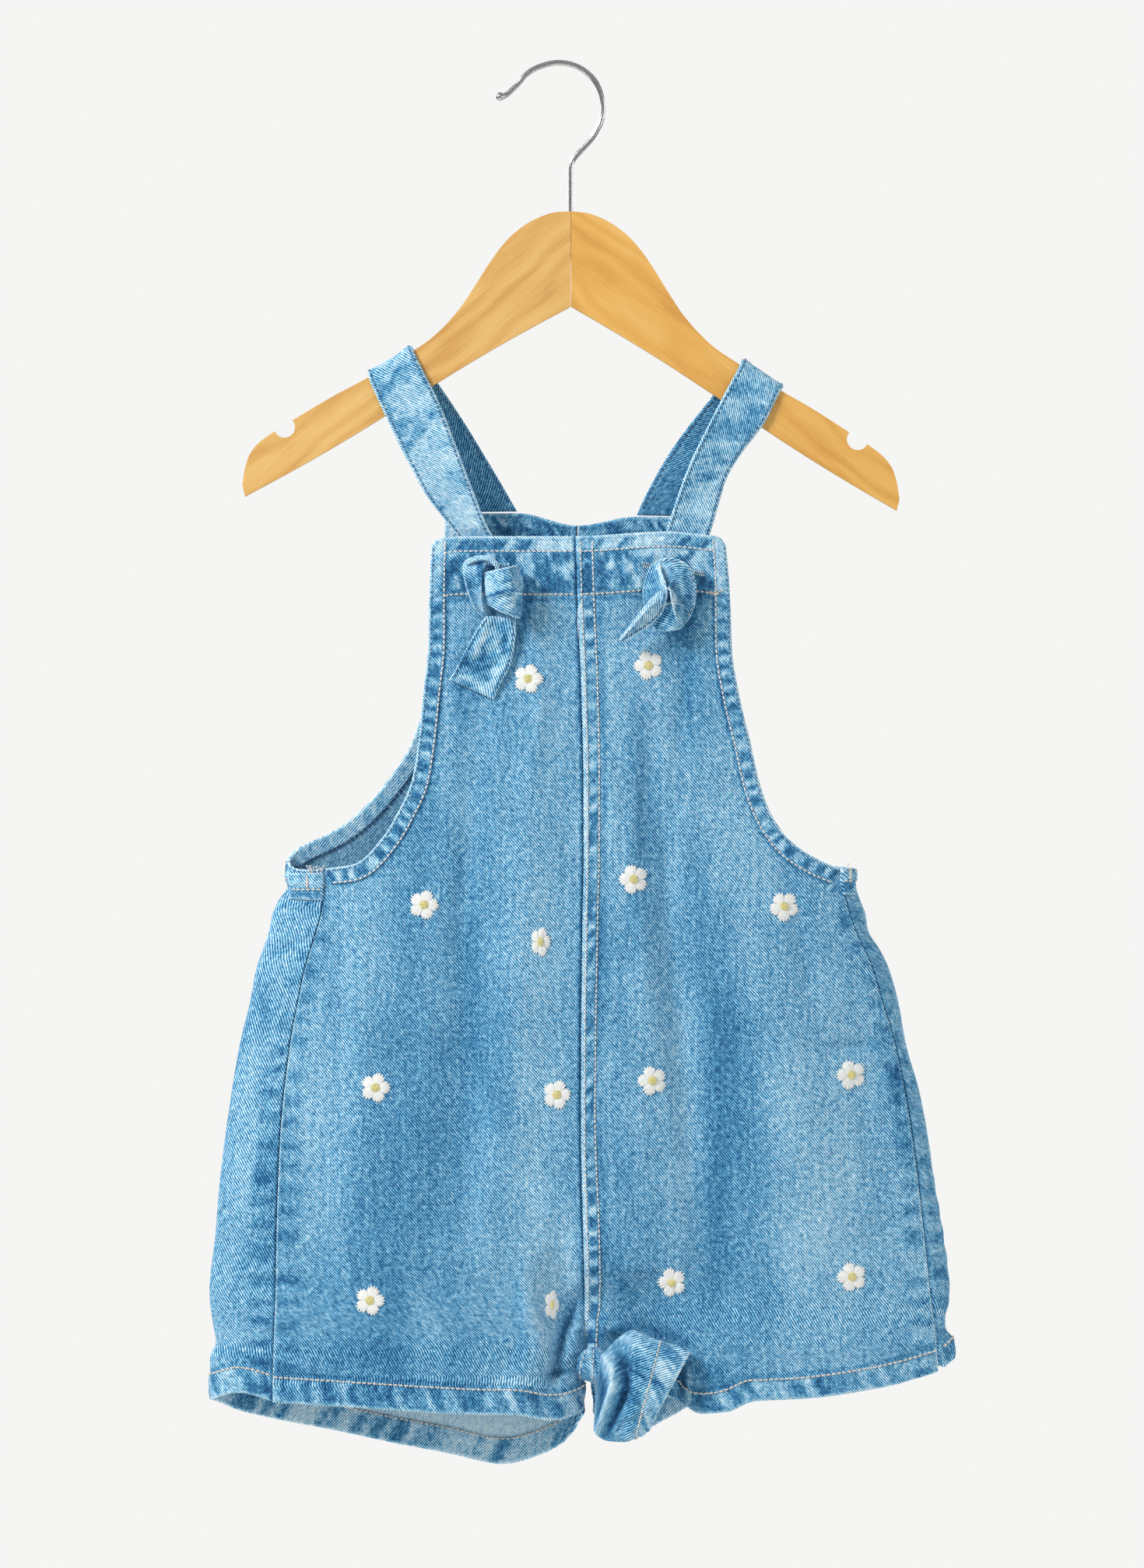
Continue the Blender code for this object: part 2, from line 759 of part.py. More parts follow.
KNOT_SECTIONS = {
    # drop, left x, right x, front y, back y, from the top down
    "left": [
        (235.4, -29.0, -24.0, -20.5, -17.5),
        (236.4, -33.4, -20.0, -24.0, -15.4),
        (240.5, -34.0, -19.0, -26.2, -14.4),
        (246.0, -33.8, -18.4, -27.0, -14.0),
        (251.0, -32.6, -18.2, -26.6, -14.0),
        (255.4, -30.4, -18.8, -24.8, -14.2),
        (258.6, -27.0, -20.4, -22.0, -15.4),
    ],
    "right": [
        (234.2, 48.0, 56.0, -20.0, -16.6),
        (236.4, 43.6, 61.0, -24.2, -14.6),
        (241.0, 41.0, 63.4, -27.2, -13.8),
        (247.0, 40.2, 64.0, -28.6, -13.6),
        (253.4, 41.4, 63.2, -28.2, -13.6),
        (259.0, 42.6, 60.4, -26.0, -13.8),
        (263.4, 44.6, 57.6, -22.6, -14.4),
        (265.6, 48.0, 54.6, -19.6, -16.0),
    ],
}
BUTTONHOLES = {
    # centre x, drop, tilt in degrees
    "left": (-32.6, 234.6, 0.0),
    "right": (54.3, 237.6, -4.3),
}
BUTTONHOLE_LENGTH = 26.6
BUTTONHOLE_OPEN = 5.0


def smooth_stations(stations, between):
    """Stations with others between them, on a smooth curve through the first ones."""
    stations = np.array(stations, float)
    ends = np.vstack([2 * stations[0] - stations[1], stations, 2 * stations[-1] - stations[-2]])
    result = []
    for i in range(1, len(ends) - 2):
        p0, p1, p2, p3 = ends[i - 1 : i + 3]
        for k in range(between):
            t = k / between
            result.append(
                0.5
                * (
                    2 * p1
                    + (p2 - p0) * t
                    + (2 * p0 - 5 * p1 + 4 * p2 - p3) * t**2
                    + (3 * p1 - p0 - 3 * p2 + p3) * t**3
                )
            )
    result.append(stations[-1])
    return np.array(result)


def make_band(name, stations, thick, columns, crown, finish, between=1):
    """A flat band through its stations. crown bows its middle out from its edges."""
    stations = smooth_stations(stations, between)
    left = np.column_stack([stations[:, 0], stations[:, 2], -stations[:, 1]])
    right = np.column_stack([stations[:, 3], stations[:, 5], -stations[:, 4]])
    share = np.linspace(0, 1, columns)[None, :, None]
    middle = left[:, None, :] * (1 - share) + right[:, None, :] * share
    normals = grid_normals(middle)
    middle = middle + normals * crown * np.sin(np.pi * share)
    normals = grid_normals(middle)
    return add_wall(name, middle, normals, np.full(middle.shape[:2], thick), finish)


def make_buttonhole_cutter(name, side):
    x, drop, tilt = BUTTONHOLES[side]
    depth = 30.0
    bpy.ops.mesh.primitive_cube_add(size=1, location=(x * MM, -11 * MM, -drop * MM))
    cutter = bpy.context.object
    cutter.name = name
    cutter.scale = (BUTTONHOLE_LENGTH * MM, depth * MM / 2, BUTTONHOLE_OPEN * MM)
    cutter.rotation_euler = (0, math.radians(-tilt), 0)
    cutter.hide_render = True
    cutter.display_type = "WIRE"
    return cutter


def cut(piece, cutter):
    modifier = piece.modifiers.new("buttonhole", "BOOLEAN")
    modifier.operation = "DIFFERENCE"
    modifier.solver = "EXACT"
    modifier.object = cutter


# Turned-out inner leg and the roll of the seat seam beside it

TURNOUT = [
    # top x, top drop, bottom x, bottom drop, half depth, y, from the closed end to the hem
    (25.0, 606.0, 21.0, 632.0, 2.6, -17.8),
    (29.0, 599.6, 21.6, 641.0, 5.0, -18.2),
    (34.6, 595.2, 25.0, 644.6, 6.2, -18.8),
    (43.0, 598.2, 30.4, 644.8, 6.8, -19.4),
    (52.6, 601.4, 36.2, 643.2, 6.8, -19.6),
    (61.6, 604.8, 41.6, 639.6, 6.2, -19.4),
]


def make_turnout(name, finish):
    """The inner corner of the right leg, turned out to the front: a flattened sleeve of cloth,
    closed towards the crotch and open at its hem."""
    sides = 16
    rings = []
    for x_top, drop_top, x_bottom, drop_bottom, depth, y in smooth_stations(TURNOUT, 2):
        middle = np.array([(x_top + x_bottom) / 2, y, -(drop_top + drop_bottom) / 2])
        arm = np.array([(x_top - x_bottom) / 2, 0, -(drop_top - drop_bottom) / 2])
        ring = []
        for k in range(sides):
            turn = 2 * math.pi * k / sides
            ring.append(middle + arm * math.cos(turn) + np.array([0, -depth * math.sin(turn), 0]))
        rings.append(ring)
    rings = np.array(rings)
    wrapped = np.concatenate([rings[:, -1:], rings, rings[:, :1]], axis=1)
    normals = grid_normals(wrapped)[:, 1:-1]
    centres = rings.mean(axis=1, keepdims=True)
    if np.sum(normals * (rings - centres)) < 0:
        normals = -normals
    thick = np.full(rings.shape[:2], CLOTH)
    thick[-5:] = TURNED_EDGE
    half = normals * thick[..., None] / 2
    outer, inner = rings + half, rings - half
    axis = centres[0, 0] - centres[1, 0]
    axis /= np.linalg.norm(axis)
    outer_tip = centres[0, 0] + axis * (CLOTH + 0.8)
    inner_tip = centres[0, 0] + axis * 0.4
    count = len(rings) * sides
    points = np.vstack([outer.reshape(-1, 3), inner.reshape(-1, 3), outer_tip, inner_tip])
    faces = []
    for base in (0, count):
        for j in range(len(rings) - 1):
            for k in range(sides):
                a, b = base + j * sides + k, base + j * sides + (k + 1) % sides
                face = (a, b, b + sides, a + sides)
                faces.append(face if base else face[::-1])
        for k in range(sides):
            tip = (base + k, 2 * count + (1 if base else 0), base + (k + 1) % sides)
            faces.append(tip if base else tip[::-1])
    last = (len(rings) - 1) * sides
    for k in range(sides):
        a, b = last + k, last + (k + 1) % sides
        faces.append((a, b, b + count, a + count))
    return add_object(name, points, faces, finish, smooth=True)


CROTCH_ROLL = ((16.4, -11.5, 610.4), (7.6, 5.2, 8.2), -12)

# Daisies

DAISIES = [
    # x, drop, degrees that the first petal is turned, width as a share of the height
    (-14.3, 288.4, 0, 1.0),
    (42.1, 282.2, 36, 1.0),
    (-63.3, 394.5, 0, 1.0),
    (-8.6, 411.8, 0, 0.68),
    (35.1, 382.5, 36, 1.0),
    (105.8, 395.3, 52, 1.0),
    (-86.0, 480.2, 0, 1.0),
    (-0.9, 483.5, 0, 0.95),
    (43.9, 476.9, 36, 1.0),
    (137.3, 474.3, 36, 1.0),
    (-88.6, 580.1, 0, 1.0),
    (-3.2, 582.3, 0, 0.5),
    (53.1, 571.7, 36, 0.95),
    (137.6, 569.1, 36, 1.0),
]
DAISY_RADIUS = 6.8
DAISY_NOTCH = 0.68  # the radius between two petals, as a share
DAISY_THICK = 0.9
PETALS = 5


def make_daisy(name, x, drop, turn, width, trees, finish):
    """A five-petalled flower, moved out from the front panel that it is sewn to."""
    steps = PETALS * 6

    def surface(px, pz):
        for tree in trees:
            hit = tree.ray_cast(Vector((px, -200, pz)) * MM, Vector((0, 1, 0)))[0]
            if hit is not None:
                return hit.y / MM
        return None

    centre = (x, -drop)
    places = [centre]
    for k in range(steps):
        angle = math.radians(turn) + 2 * math.pi * k / steps
        lobe = abs(math.cos(PETALS * math.pi * k / steps)) ** 0.6
        radius = DAISY_RADIUS * (DAISY_NOTCH + (1 - DAISY_NOTCH) * lobe)
        across = radius * math.cos(angle) * width
        places.append((x + across, -drop + radius * math.sin(angle)))
    heights = [surface(px, pz) for px, pz in places]
    heights = [h if h is not None else heights[0] for h in heights]
    bulge = 0.0
    for (px, pz), height in zip(places[1:], heights[1:]):
        for share in (0.25, 0.5, 0.75):
            chord = heights[0] + (height - heights[0]) * share
            under = surface(x + (px - x) * share, -drop + (pz + drop) * share)
            if under is not None:
                bulge = max(bulge, chord - under)
    base = [h - bulge for h in heights]
    back = [(px, y - REST_GAP, pz) for (px, pz), y in zip(places, base)]
    front = [(px, y - REST_GAP - DAISY_THICK, pz) for (px, pz), y in zip(places, base)]
    front[0] = (front[0][0], front[0][1] - 0.5, front[0][2])
    count = steps + 1
    faces = []
    for k in range(steps):
        a, b = 1 + k, 1 + (k + 1) % steps
        faces.append((0, a, b))
        faces.append((count, count + b, count + a))
        faces.append((a, b, count + b))
        faces.append((a, count + b, count + a))
    return add_object(name, back + front, faces, finish)


# The hanger: one arm is drawn with its joint at distance 0, then mirrored and tilted

STEM_X = 5.7
HANGER_THICK = 12.0
HANGER_TILT = 1.24  # degrees, the right arm lower
HANGER_TOP = Table(
    "from_middle drop",
    [
        (0.0, 68.8),
        (7.0, 69.3),
        (14.0, 71.5),
        (20.0, 74.6),
        (27.0, 79.9),
        (33.0, 86.5),
        (39.0, 95.0),
        (45.0, 104.6),
        (52.0, 115.2),
        (60.0, 124.5),
        (68.0, 131.7),
        (80.0, 139.4),
        (98.0, 150.4),
        (112.0, 158.2),
        (129.0, 168.6),
        (140.2, 175.8),
        (146.1, 180.2),
        (150.7, 185.7),
        (153.2, 192.9),
        (154.4, 200.6),
    ],
)
HANGER_TIP = (153.2, 206.0)
HANGER_APEX = 113.4  # underside at the joint
NOTCH_PLACE = (134.7, 173.0)
NOTCH_RADIUS = 5.0
WOOD_ROUNDING = 1.8
STEM_HOLE_DEPTH = 24.0
WIRE = 1.3  # radius


def make_hanger_arm(name, side, finish):
    sign = SIGN[side]
    top_steps = [0, 7, 14, 20, 27, 33, 39, 45, 52, 60, 72, 86, 102, 118, 132, 141]
    top_steps += [146.1, 149.2, 151.6, 153.2, 154.4]
    outline = [(d, HANGER_TOP("drop", d)) for d in top_steps]
    outline.append(HANGER_TIP)
    slope = (HANGER_TIP[1] - HANGER_APEX) / HANGER_TIP[0]
    for share in (0.8, 0.6, 0.4, 0.2, 0.0):
        d = HANGER_TIP[0] * share
        bow = -1.2 * math.sin(2 * math.pi * share)
        outline.append((d, HANGER_APEX + slope * d + bow))
    tilt = math.radians(HANGER_TILT)
    joint = SEAM_GAP / 2
    half = HANGER_THICK / 2
    flat = []
    for d, drop in outline:
        x = sign * max(d, joint)
        z = -drop - math.tan(tilt) * x
        flat.append((STEM_X + x, z))
    points = [(x, -half, z) for x, z in flat] + [(x, half, z) for x, z in flat]
    count = len(flat)
    faces = [tuple(range(count)), tuple(range(2 * count - 1, count - 1, -1))]
    for a in range(count):
        b = (a + 1) % count
        faces.append((b, a, a + count, b + count))
    arm = add_object(name, points, faces, finish)
    bevel = arm.modifiers.new("rounding", "BEVEL")
    bevel.width = WOOD_ROUNDING * MM
    bevel.segments = 2
    bevel.limit_method = "ANGLE"
    bevel.angle_limit = math.radians(60)
    notch_x = STEM_X + sign * NOTCH_PLACE[0]
    notch_drop = NOTCH_PLACE[1] + math.tan(tilt) * sign * NOTCH_PLACE[0]
    bpy.ops.mesh.primitive_cylinder_add(
        vertices=20,
        radius=NOTCH_RADIUS * MM,
        depth=2 * HANGER_THICK * MM,
        location=(notch_x * MM, 0, -notch_drop * MM),
        rotation=(math.pi / 2, 0, 0),
    )
    notch = bpy.context.object
    notch.name = f"notch_cutter_{side}"
    bore_top = -HANGER_TOP("drop", 0) + 5
    bpy.ops.mesh.primitive_cylinder_add(
        vertices=16,
        radius=(WIRE + REST_GAP) * MM,
        depth=(STEM_HOLE_DEPTH + 5) * MM,
        location=(STEM_X * MM, 0, (bore_top - (STEM_HOLE_DEPTH + 5) / 2) * MM),
    )
    bore = bpy.context.object
    bore.name = f"stem_cutter_{side}"
    for cutter in (notch, bore):
        cutter.hide_render = True
        cutter.display_type = "WIRE"
        cut(arm, cutter)
    return arm


HOOK_RADIUS = 21.0  # of the crown, to the middle of the wire
HOOK_NOSE = [(-22.6, -12.0), (-24.6, -13.8), (-26.4, -14.6)]  # x, z
HOOK_SHANK = [
    # x, z below the crown's arc, down to the stem
    (18.6, -29.2),
    (15.9, -33.8),
    (12.0, -38.4),
    (8.7, -41.9),
    (6.6, -44.6),
    (5.8, -47.6),
    (5.7, -51.0),
    (5.7, -70.0),
]
BALL = 2.0


def make_hook(name, finish):
    """Crown arc from the nose over the top to the right side, then the shank and stem."""
    centre_z = WIRE - HOOK_RADIUS
    path = []
    for degrees in range(150, -21, -10):
        turn = math.radians(degrees)
        radius = HOOK_RADIUS + max(degrees - 110, 0) * 0.03
        path.append((radius * math.cos(turn), 0, centre_z + radius * math.sin(turn)))
    path = [(x, 0, z) for x, z in reversed(HOOK_NOSE)] + path
    path += [(x, 0, z) for x, z in HOOK_SHANK]
    path.append((STEM_X, 0, -HANGER_TOP("drop", 0) - STEM_HOLE_DEPTH + 1))
    radii = [WIRE] * len(path)
    nose = path[0]
    ball = []
    for degrees in (160, 130, 100, 70, 45):
        turn = math.radians(degrees)
        ball.append(((nose[0] - 1.2 + BALL * math.cos(turn), 0, nose[2]), BALL * math.sin(turn)))
    path = [place for place, _ in ball] + path[1:]
    radii = [radius for _, radius in ball] + radii[1:]
    return add_tube(name, path, radii, 10, finish)


def main():
    for old in list(bpy.data.objects):
        bpy.data.objects.remove(old)

    denim = material("denim", (0.155, 0.386, 0.578), 0.85)
    wood = material("wood", (0.79, 0.50, 0.17), 0.42)
    chrome = material("chrome", (0.85, 0.85, 0.86), 0.12, 1.0)
    thread = material("thread", (0.80, 0.82, 0.72), 0.7)

    panels = {
        "front_left": make_panel("front_left", "left", False, False, denim),
        "front_right": make_panel("front_right", "right", False, True, denim),
        "back_left": make_panel("back_left", "left", True, False, denim),
        "back_right": make_panel("back_right", "right", True, True, denim),
    }
    trees = []
    for name in ("front_left", "front_right"):
        shape = bmesh.new()
        shape.from_mesh(panels[name].data)
        trees.append(BVHTree.FromBMesh(shape))
        shape.free()

    for side in ("left", "right"):
        cut(panels[f"front_{side}"], make_buttonhole_cutter(f"buttonhole_cutter_{side}", side))
        make_band(f"strap_{side}", STRAP_STATIONS[side], STRAP_THICK, 5, 0.0, denim, 2)
        add_roll(f"knot_{side}", KNOT_SECTIONS[side], 14, denim)
        make_band(f"tail_{side}", TAIL_STATIONS[side], STRAP_THICK, 4, 0.4, denim, 2)
        make_hanger_arm(f"hanger_{side}", side, wood)
    make_band("knot_loop_left", LOOP_STATIONS, 2.2, 4, 0.5, denim, 2)
    make_turnout("leg_turnout_right", denim)
    centre, half, tilt = CROTCH_ROLL
    add_pillow("crotch_roll", centre, half, tilt, 1.1, 7, 12, denim)
    for number, (x, drop, turn, width) in enumerate(DAISIES, 1):
        make_daisy(f"daisy_{number:02d}", x, drop, turn, width, trees, thread)
    make_hook("hook", chrome)


main()
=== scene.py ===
"""Looks for a small child's denim short dungarees on a child's wooden hanger.

Lengths in the tables are millimetres. "drop" is measured down from the origin, x runs to the
viewer's right and y away from the viewer. Left and right are the viewer's.
"""

import math

import bmesh
import bpy
import numpy as np
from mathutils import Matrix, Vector
from mathutils.bvhtree import BVHTree


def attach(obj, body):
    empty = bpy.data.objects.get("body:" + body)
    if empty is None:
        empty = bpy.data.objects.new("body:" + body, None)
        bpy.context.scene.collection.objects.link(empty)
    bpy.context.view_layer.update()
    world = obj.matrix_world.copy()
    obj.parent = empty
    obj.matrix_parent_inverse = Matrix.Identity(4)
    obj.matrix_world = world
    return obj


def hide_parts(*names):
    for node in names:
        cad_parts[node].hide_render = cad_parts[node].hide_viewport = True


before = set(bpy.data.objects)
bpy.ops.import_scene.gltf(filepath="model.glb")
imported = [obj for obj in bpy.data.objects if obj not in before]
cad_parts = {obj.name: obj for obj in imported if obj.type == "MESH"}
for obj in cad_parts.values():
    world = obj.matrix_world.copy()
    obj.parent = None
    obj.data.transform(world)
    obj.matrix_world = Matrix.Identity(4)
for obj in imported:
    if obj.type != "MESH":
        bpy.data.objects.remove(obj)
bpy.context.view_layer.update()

MM = 0.001
SEAM_GAP = 0.36
CLOTH = 1.2
SEAM_RIDGE_WIDTH = 8.0
ARMHOLE_HEM_WIDTH = 8.3
SIDE_SEAM_WIDTH = 3.5
LEG_HEM_WIDTH = {"left": 13.0, "right": 11.2}
BEND_WEIGHT = 22.0
BIB_FACING_DEPTH = 28.0
STRAP_THICK = 1.7
BIB_TOP = 221.4
UNDERARM = 377.5
UNDERARM_ROW_CENTRE = 500.0
LEG_SPLIT_START = 552.0
CROTCH = 603.0
LEG_APART = 1.7
LEG_SPREAD = 0.05
BACK_CENTRE = 9.0
BLUNTNESS = 0.72
SEAM_FOOT = 628.0  # where the side seams reach the leg hems

# Levels of the stitch rows, from the edge that each one follows
ARMHOLE_ROW = 7.5
TOP_ROW = 7.1
FACING_ROW = 27.3
CENTRE_ROW = 7.8
LEG_ROW = 1  # short of the hem's width


class Table:
    """Rows of named columns, read smoothly along the first one without overshooting."""

    def __init__(self, columns, rows):
        self.columns = columns.split()
        self.rows = np.array(rows, float)
        self.steps = np.diff(self.rows[:, 0])
        slopes = np.diff(self.rows, axis=0) / self.steps[:, None]
        ends = np.concatenate([slopes[:1], slopes, slopes[-1:]])
        before, after = ends[:-1], ends[1:]
        same_way = before * after > 0
        total = np.where(same_way, before + after, 1)
        self.tangents = np.where(same_way, 2 * before * after / total, 0)

    def __call__(self, column, key):
        c = self.columns.index(column)
        xs, ys, tangents = self.rows[:, 0], self.rows[:, c], self.tangents[:, c]
        key = np.clip(key, xs[0], xs[-1])
        i = np.clip(np.searchsorted(xs, key) - 1, 0, len(self.steps) - 1)
        step = self.steps[i]
        t = (key - xs[i]) / step
        return (
            ys[i] * (2 * t**3 - 3 * t**2 + 1)
            + ys[i + 1] * (3 * t**2 - 2 * t**3)
            + tangents[i] * step * (t**3 - 2 * t**2 + t)
            + tangents[i + 1] * step * (t**3 - t**2)
        )


# The garment's outline from the front. Above the underarm it is the curve that the bib lies on.
OUTLINE = Table("drop left right", [(205, -106, 116), (300, -112, 122), (350, -123, 132),
    (374, -127.8, 139.6), (388, -129.4, 140.3), (392, -131.6, 141.6), (399, -134.8, 144.2),
    (407, -136.4, 145.4), (416, -139.6, 151), (425, -142.6, 155.4), (440, -145.4, 159.8),
    (460, -150.1, 163.6), (482, -153.7, 169.8), (504, -157, 173.9), (526, -159.9, 177.1),
    (548, -161.8, 180.8), (577, -164.4, 184), (592, -162.6, 181.5), (600, -161.2, 185.8),
    (608, -164, 186), (630, -163.8, 184), (665, -162, 182)])

# Where the side seams and the centre seam run, all on the front
SEAMS = Table("drop left centre right", [(205, -95, 7.4, 120), (247, -98, 8.4, 122),
    (291, -102, 10.2, 125), (335, -106, 11.3, 128), (377, -109.8, 11.4, 131.4),
    (394, -110.9, 11, 135.4), (409, -114.6, 10.8, 140.5), (423, -119, 10.6, 147),
    (438, -122.2, 10.4, 151.5), (460, -126.3, 10.2, 158.1), (504, -131, 10.2, 166.2),
    (548, -132.7, 11.2, 171.7), (577, -133.2, 12.1, 174.8), (603, -134, 13.2, 177.8),
    (630, -134.5, 14.2, 178.6), (665, -134.5, 14.4, 178.6)])

# How far the front and back stand from the middle of the garment
DEPTH = Table("drop front back", [(205, 11.3, 9), (300, 12.2, 9.4), (377, 14, 11), (440, 17, 13.5),
    (520, 18.5, 15), (603, 17, 15), (665, 16, 15)])

# Long soft folds: where each starts and ends, its half width, and how far it stands out (+)
# x_start, drop_start, x_end, drop_end, half_width, rise
FRONT_FOLDS = [(-10, 280, -26, 560, 13, 3.2), (-42, 380, -44, 560, 11, -2.4),
    (-84, 390, -90, 620, 18, 2.4), (-112, 470, -116, 600, 11, -1.6), (50, 340, 78, 600, 12, -3),
    (98, 390, 118, 610, 20, 2.6), (30, 420, 38, 580, 13, 1.8), (140, 440, 152, 560, 12, -1.5),
    (2, 540, -3, 606, 8, -3.6), (-14, 552, -18, 640, 9, 3), (37, 566, 42, 690, 19, -8.5)]
BACK_FOLDS = [(-20, 300, -34, 560, 14, 2.6), (-70, 380, -82, 600, 18, -2.4),
    (-118, 430, -126, 600, 14, 1.8), (36, 290, 52, 560, 14, -2.6), (86, 380, 100, 610, 20, 2.6),
    (134, 430, 144, 590, 14, -1.8), (10, 540, 12, 620, 10, -3)]

# Armholes from the underarm up to the bib, as x and drop, starting after the side seam. On the
# back, x is unrolled about the side fold, so that its first points lie on the front.
FRONT_ARMHOLE = {"left": [(-96.3, 375.4), (-83.8, 364.2), (-75.4, 350.6), (-69, 336), (-66, 318),
    (-63.6, 295), (-61.3, 273), (-60.8, 250), (-59.9, 226.2)], "right": [(120, 372.3),
    (108.3, 364), (99.6, 351.5), (94, 336), (90, 318), (85.2, 298), (81.4, 275), (80.5, 250),
    (78.6, 226.2)]}
BACK_ARMHOLE = {"left": [(-138, 378), (-131.6, 377.4), (-127.8, 374.6), (-125.4, 370.4),
    (-120, 366.6), (-110, 362), (-100.7, 356.6), (-89.3, 346.6), (-80.2, 335.6), (-70, 320),
    (-62, 296), (-57, 262), (-54.2, 228), (-53.6, 213)], "right": [(139.6, 377.2), (129, 376.4),
    (119, 373), (107, 366), (98, 353), (92, 337), (87.6, 317), (82.4, 296), (78, 272), (74.4, 244),
    (71.4, 226), (70.6, 214.5)]}

# Top edges and hems, as x and drop
FRONT_TOP = Table("x drop", [(-59.9, 226.2), (-57.6, 223.4), (-53, 222.2), (-46.8, 221.4),
    (8, 221.4), (50.5, 219.2), (71.7, 221.1), (76.2, 222.4), (78.6, 226.2)])
BACK_TOP = Table("x drop", [(-53.6, 212), (-46, 210.4), (-19, 210.4), (9, 216.2), (36, 212),
    (62, 212.6), (70.6, 214.5)])
FRONT_HEM = {"left": Table("x drop", [(-136, 628), (-96, 630.4), (-58, 632.8), (-36, 633.8),
    (-21, 634), (-3, 636.6), (8, 634), (14, 628)]), "right": Table("x drop", [(14, 616), (26, 617),
    (56, 627.4), (67, 633.4), (79, 632.4), (92, 627.4), (116, 626.2), (152, 621), (180, 613.4)])}
BACK_HEM = {"left": Table("x drop", [(-194, 628), (-176, 623.6), (-163.8, 627), (-150.8, 632.4),
    (-131, 637.2), (-104.7, 642.3), (-78.3, 648), (-52, 653), (-26, 658), (-10, 654), (4, 646),
    (14, 628)]), "right": Table("x drop", [(14, 628), (22, 640), (36, 643), (52, 636), (70, 627),
    (92, 624), (130, 620), (165, 614.6), (184, 608), (191, 613)])}

# Creases that are too narrow for the solids: start, end, half width and rise, as for the folds
FRONT_CREASES = [(-113, 574, -147, 570, 2.2, -1), (-128, 611, -162, 604, 2, -1.4),
    (-104, 612, -134, 608, 3, 0.7), (9, 582, 1.5, 600, 3, -1.4), (-6, 616, 8, 611, 2.4, -1.3),
    (125, 462, 158, 458, 2, -1.1), (120, 470, 158, 468, 4, 0.7), (-117, 410, -138, 419, 2.2, -1.2),
    (22, 285, 30, 420, 5, 0.9), (44, 300, 38, 400, 4.5, -1), (-38, 300, -44, 420, 5.5, -0.8),
    (-26, 290, -32, 380, 4.5, 0.7), (84, 335, 104, 372, 4, -0.8), (70, 400, 92, 520, 6, -0.8),
    (-62, 420, -70, 560, 6.5, 0.7), (-30, 470, -36, 600, 6, 0.8), (60, 590, 66, 618, 4, 0.8),
    (24, 596, 40, 612, 4, -1.2), (0, 560, -8, 600, 3, 0.9), (130, 540, 168, 536, 3, 0.7),
    (140, 500, 170, 495, 2.6, -0.8)]
BACK_CREASES = [(-117, 420, -150, 428, 3, -1), (-128, 590, -160, 586, 2.6, -1.2),
    (120, 450, 158, 458, 3, -1), (0, 300, -6, 460, 6, 0.9), (30, 320, 22, 480, 6, -0.9),
    (-50, 330, -58, 520, 7, 0.9), (60, 400, 74, 560, 7, 0.9), (9, 560, -20, 600, 4, -1.4),
    (9, 560, 38, 600, 4, -1.4), (100, 560, 130, 600, 5, -0.9), (-110, 540, -90, 600, 5, -0.9)]

FRONT_LINES = [([(9.5, 578), (2, 596), (-2, 612), (-2.5, 619)], 3, -4.4),
    ([(-16, 575), (-9, 598), (-9, 612)], 5, 1.8), ([(-22, 572), (-19, 600), (-26, 618)], 4, -1.2),
    ([(-7, 616.5), (0, 614), (7, 613.4)], 2, -1.6), ([(19, 585), (22, 592), (33, 596)], 3.2, 1.6),
    ([(16, 575), (17, 590), (13, 603)], 3, -1.2), ([(28, 560), (34, 580), (46, 590)], 6, 1),
    ([(-127, 392), (-126, 470), (-131, 560), (-134, 610)], 3, -0.5),
    ([(47, 330), (50, 390), (56, 450), (66, 560)], 6, -1.5),
    ([(33, 300), (36, 380), (44, 470)], 5, 0.9), ([(-10, 262), (-9, 300), (-14, 340)], 5, 0.9),
    ([(60, 262), (58, 300), (55, 350)], 4.5, -0.9),
    ([(-40, 310), (-46, 400), (-44, 480)], 6, -0.9),
    ([(104, 374), (112, 400), (118, 440)], 5, -0.9),
    ([(-98, 392), (-92, 430), (-94, 480)], 6, 0.8), ([(57.5, 608), (57.5, 634)], 2.4, -2.4)]
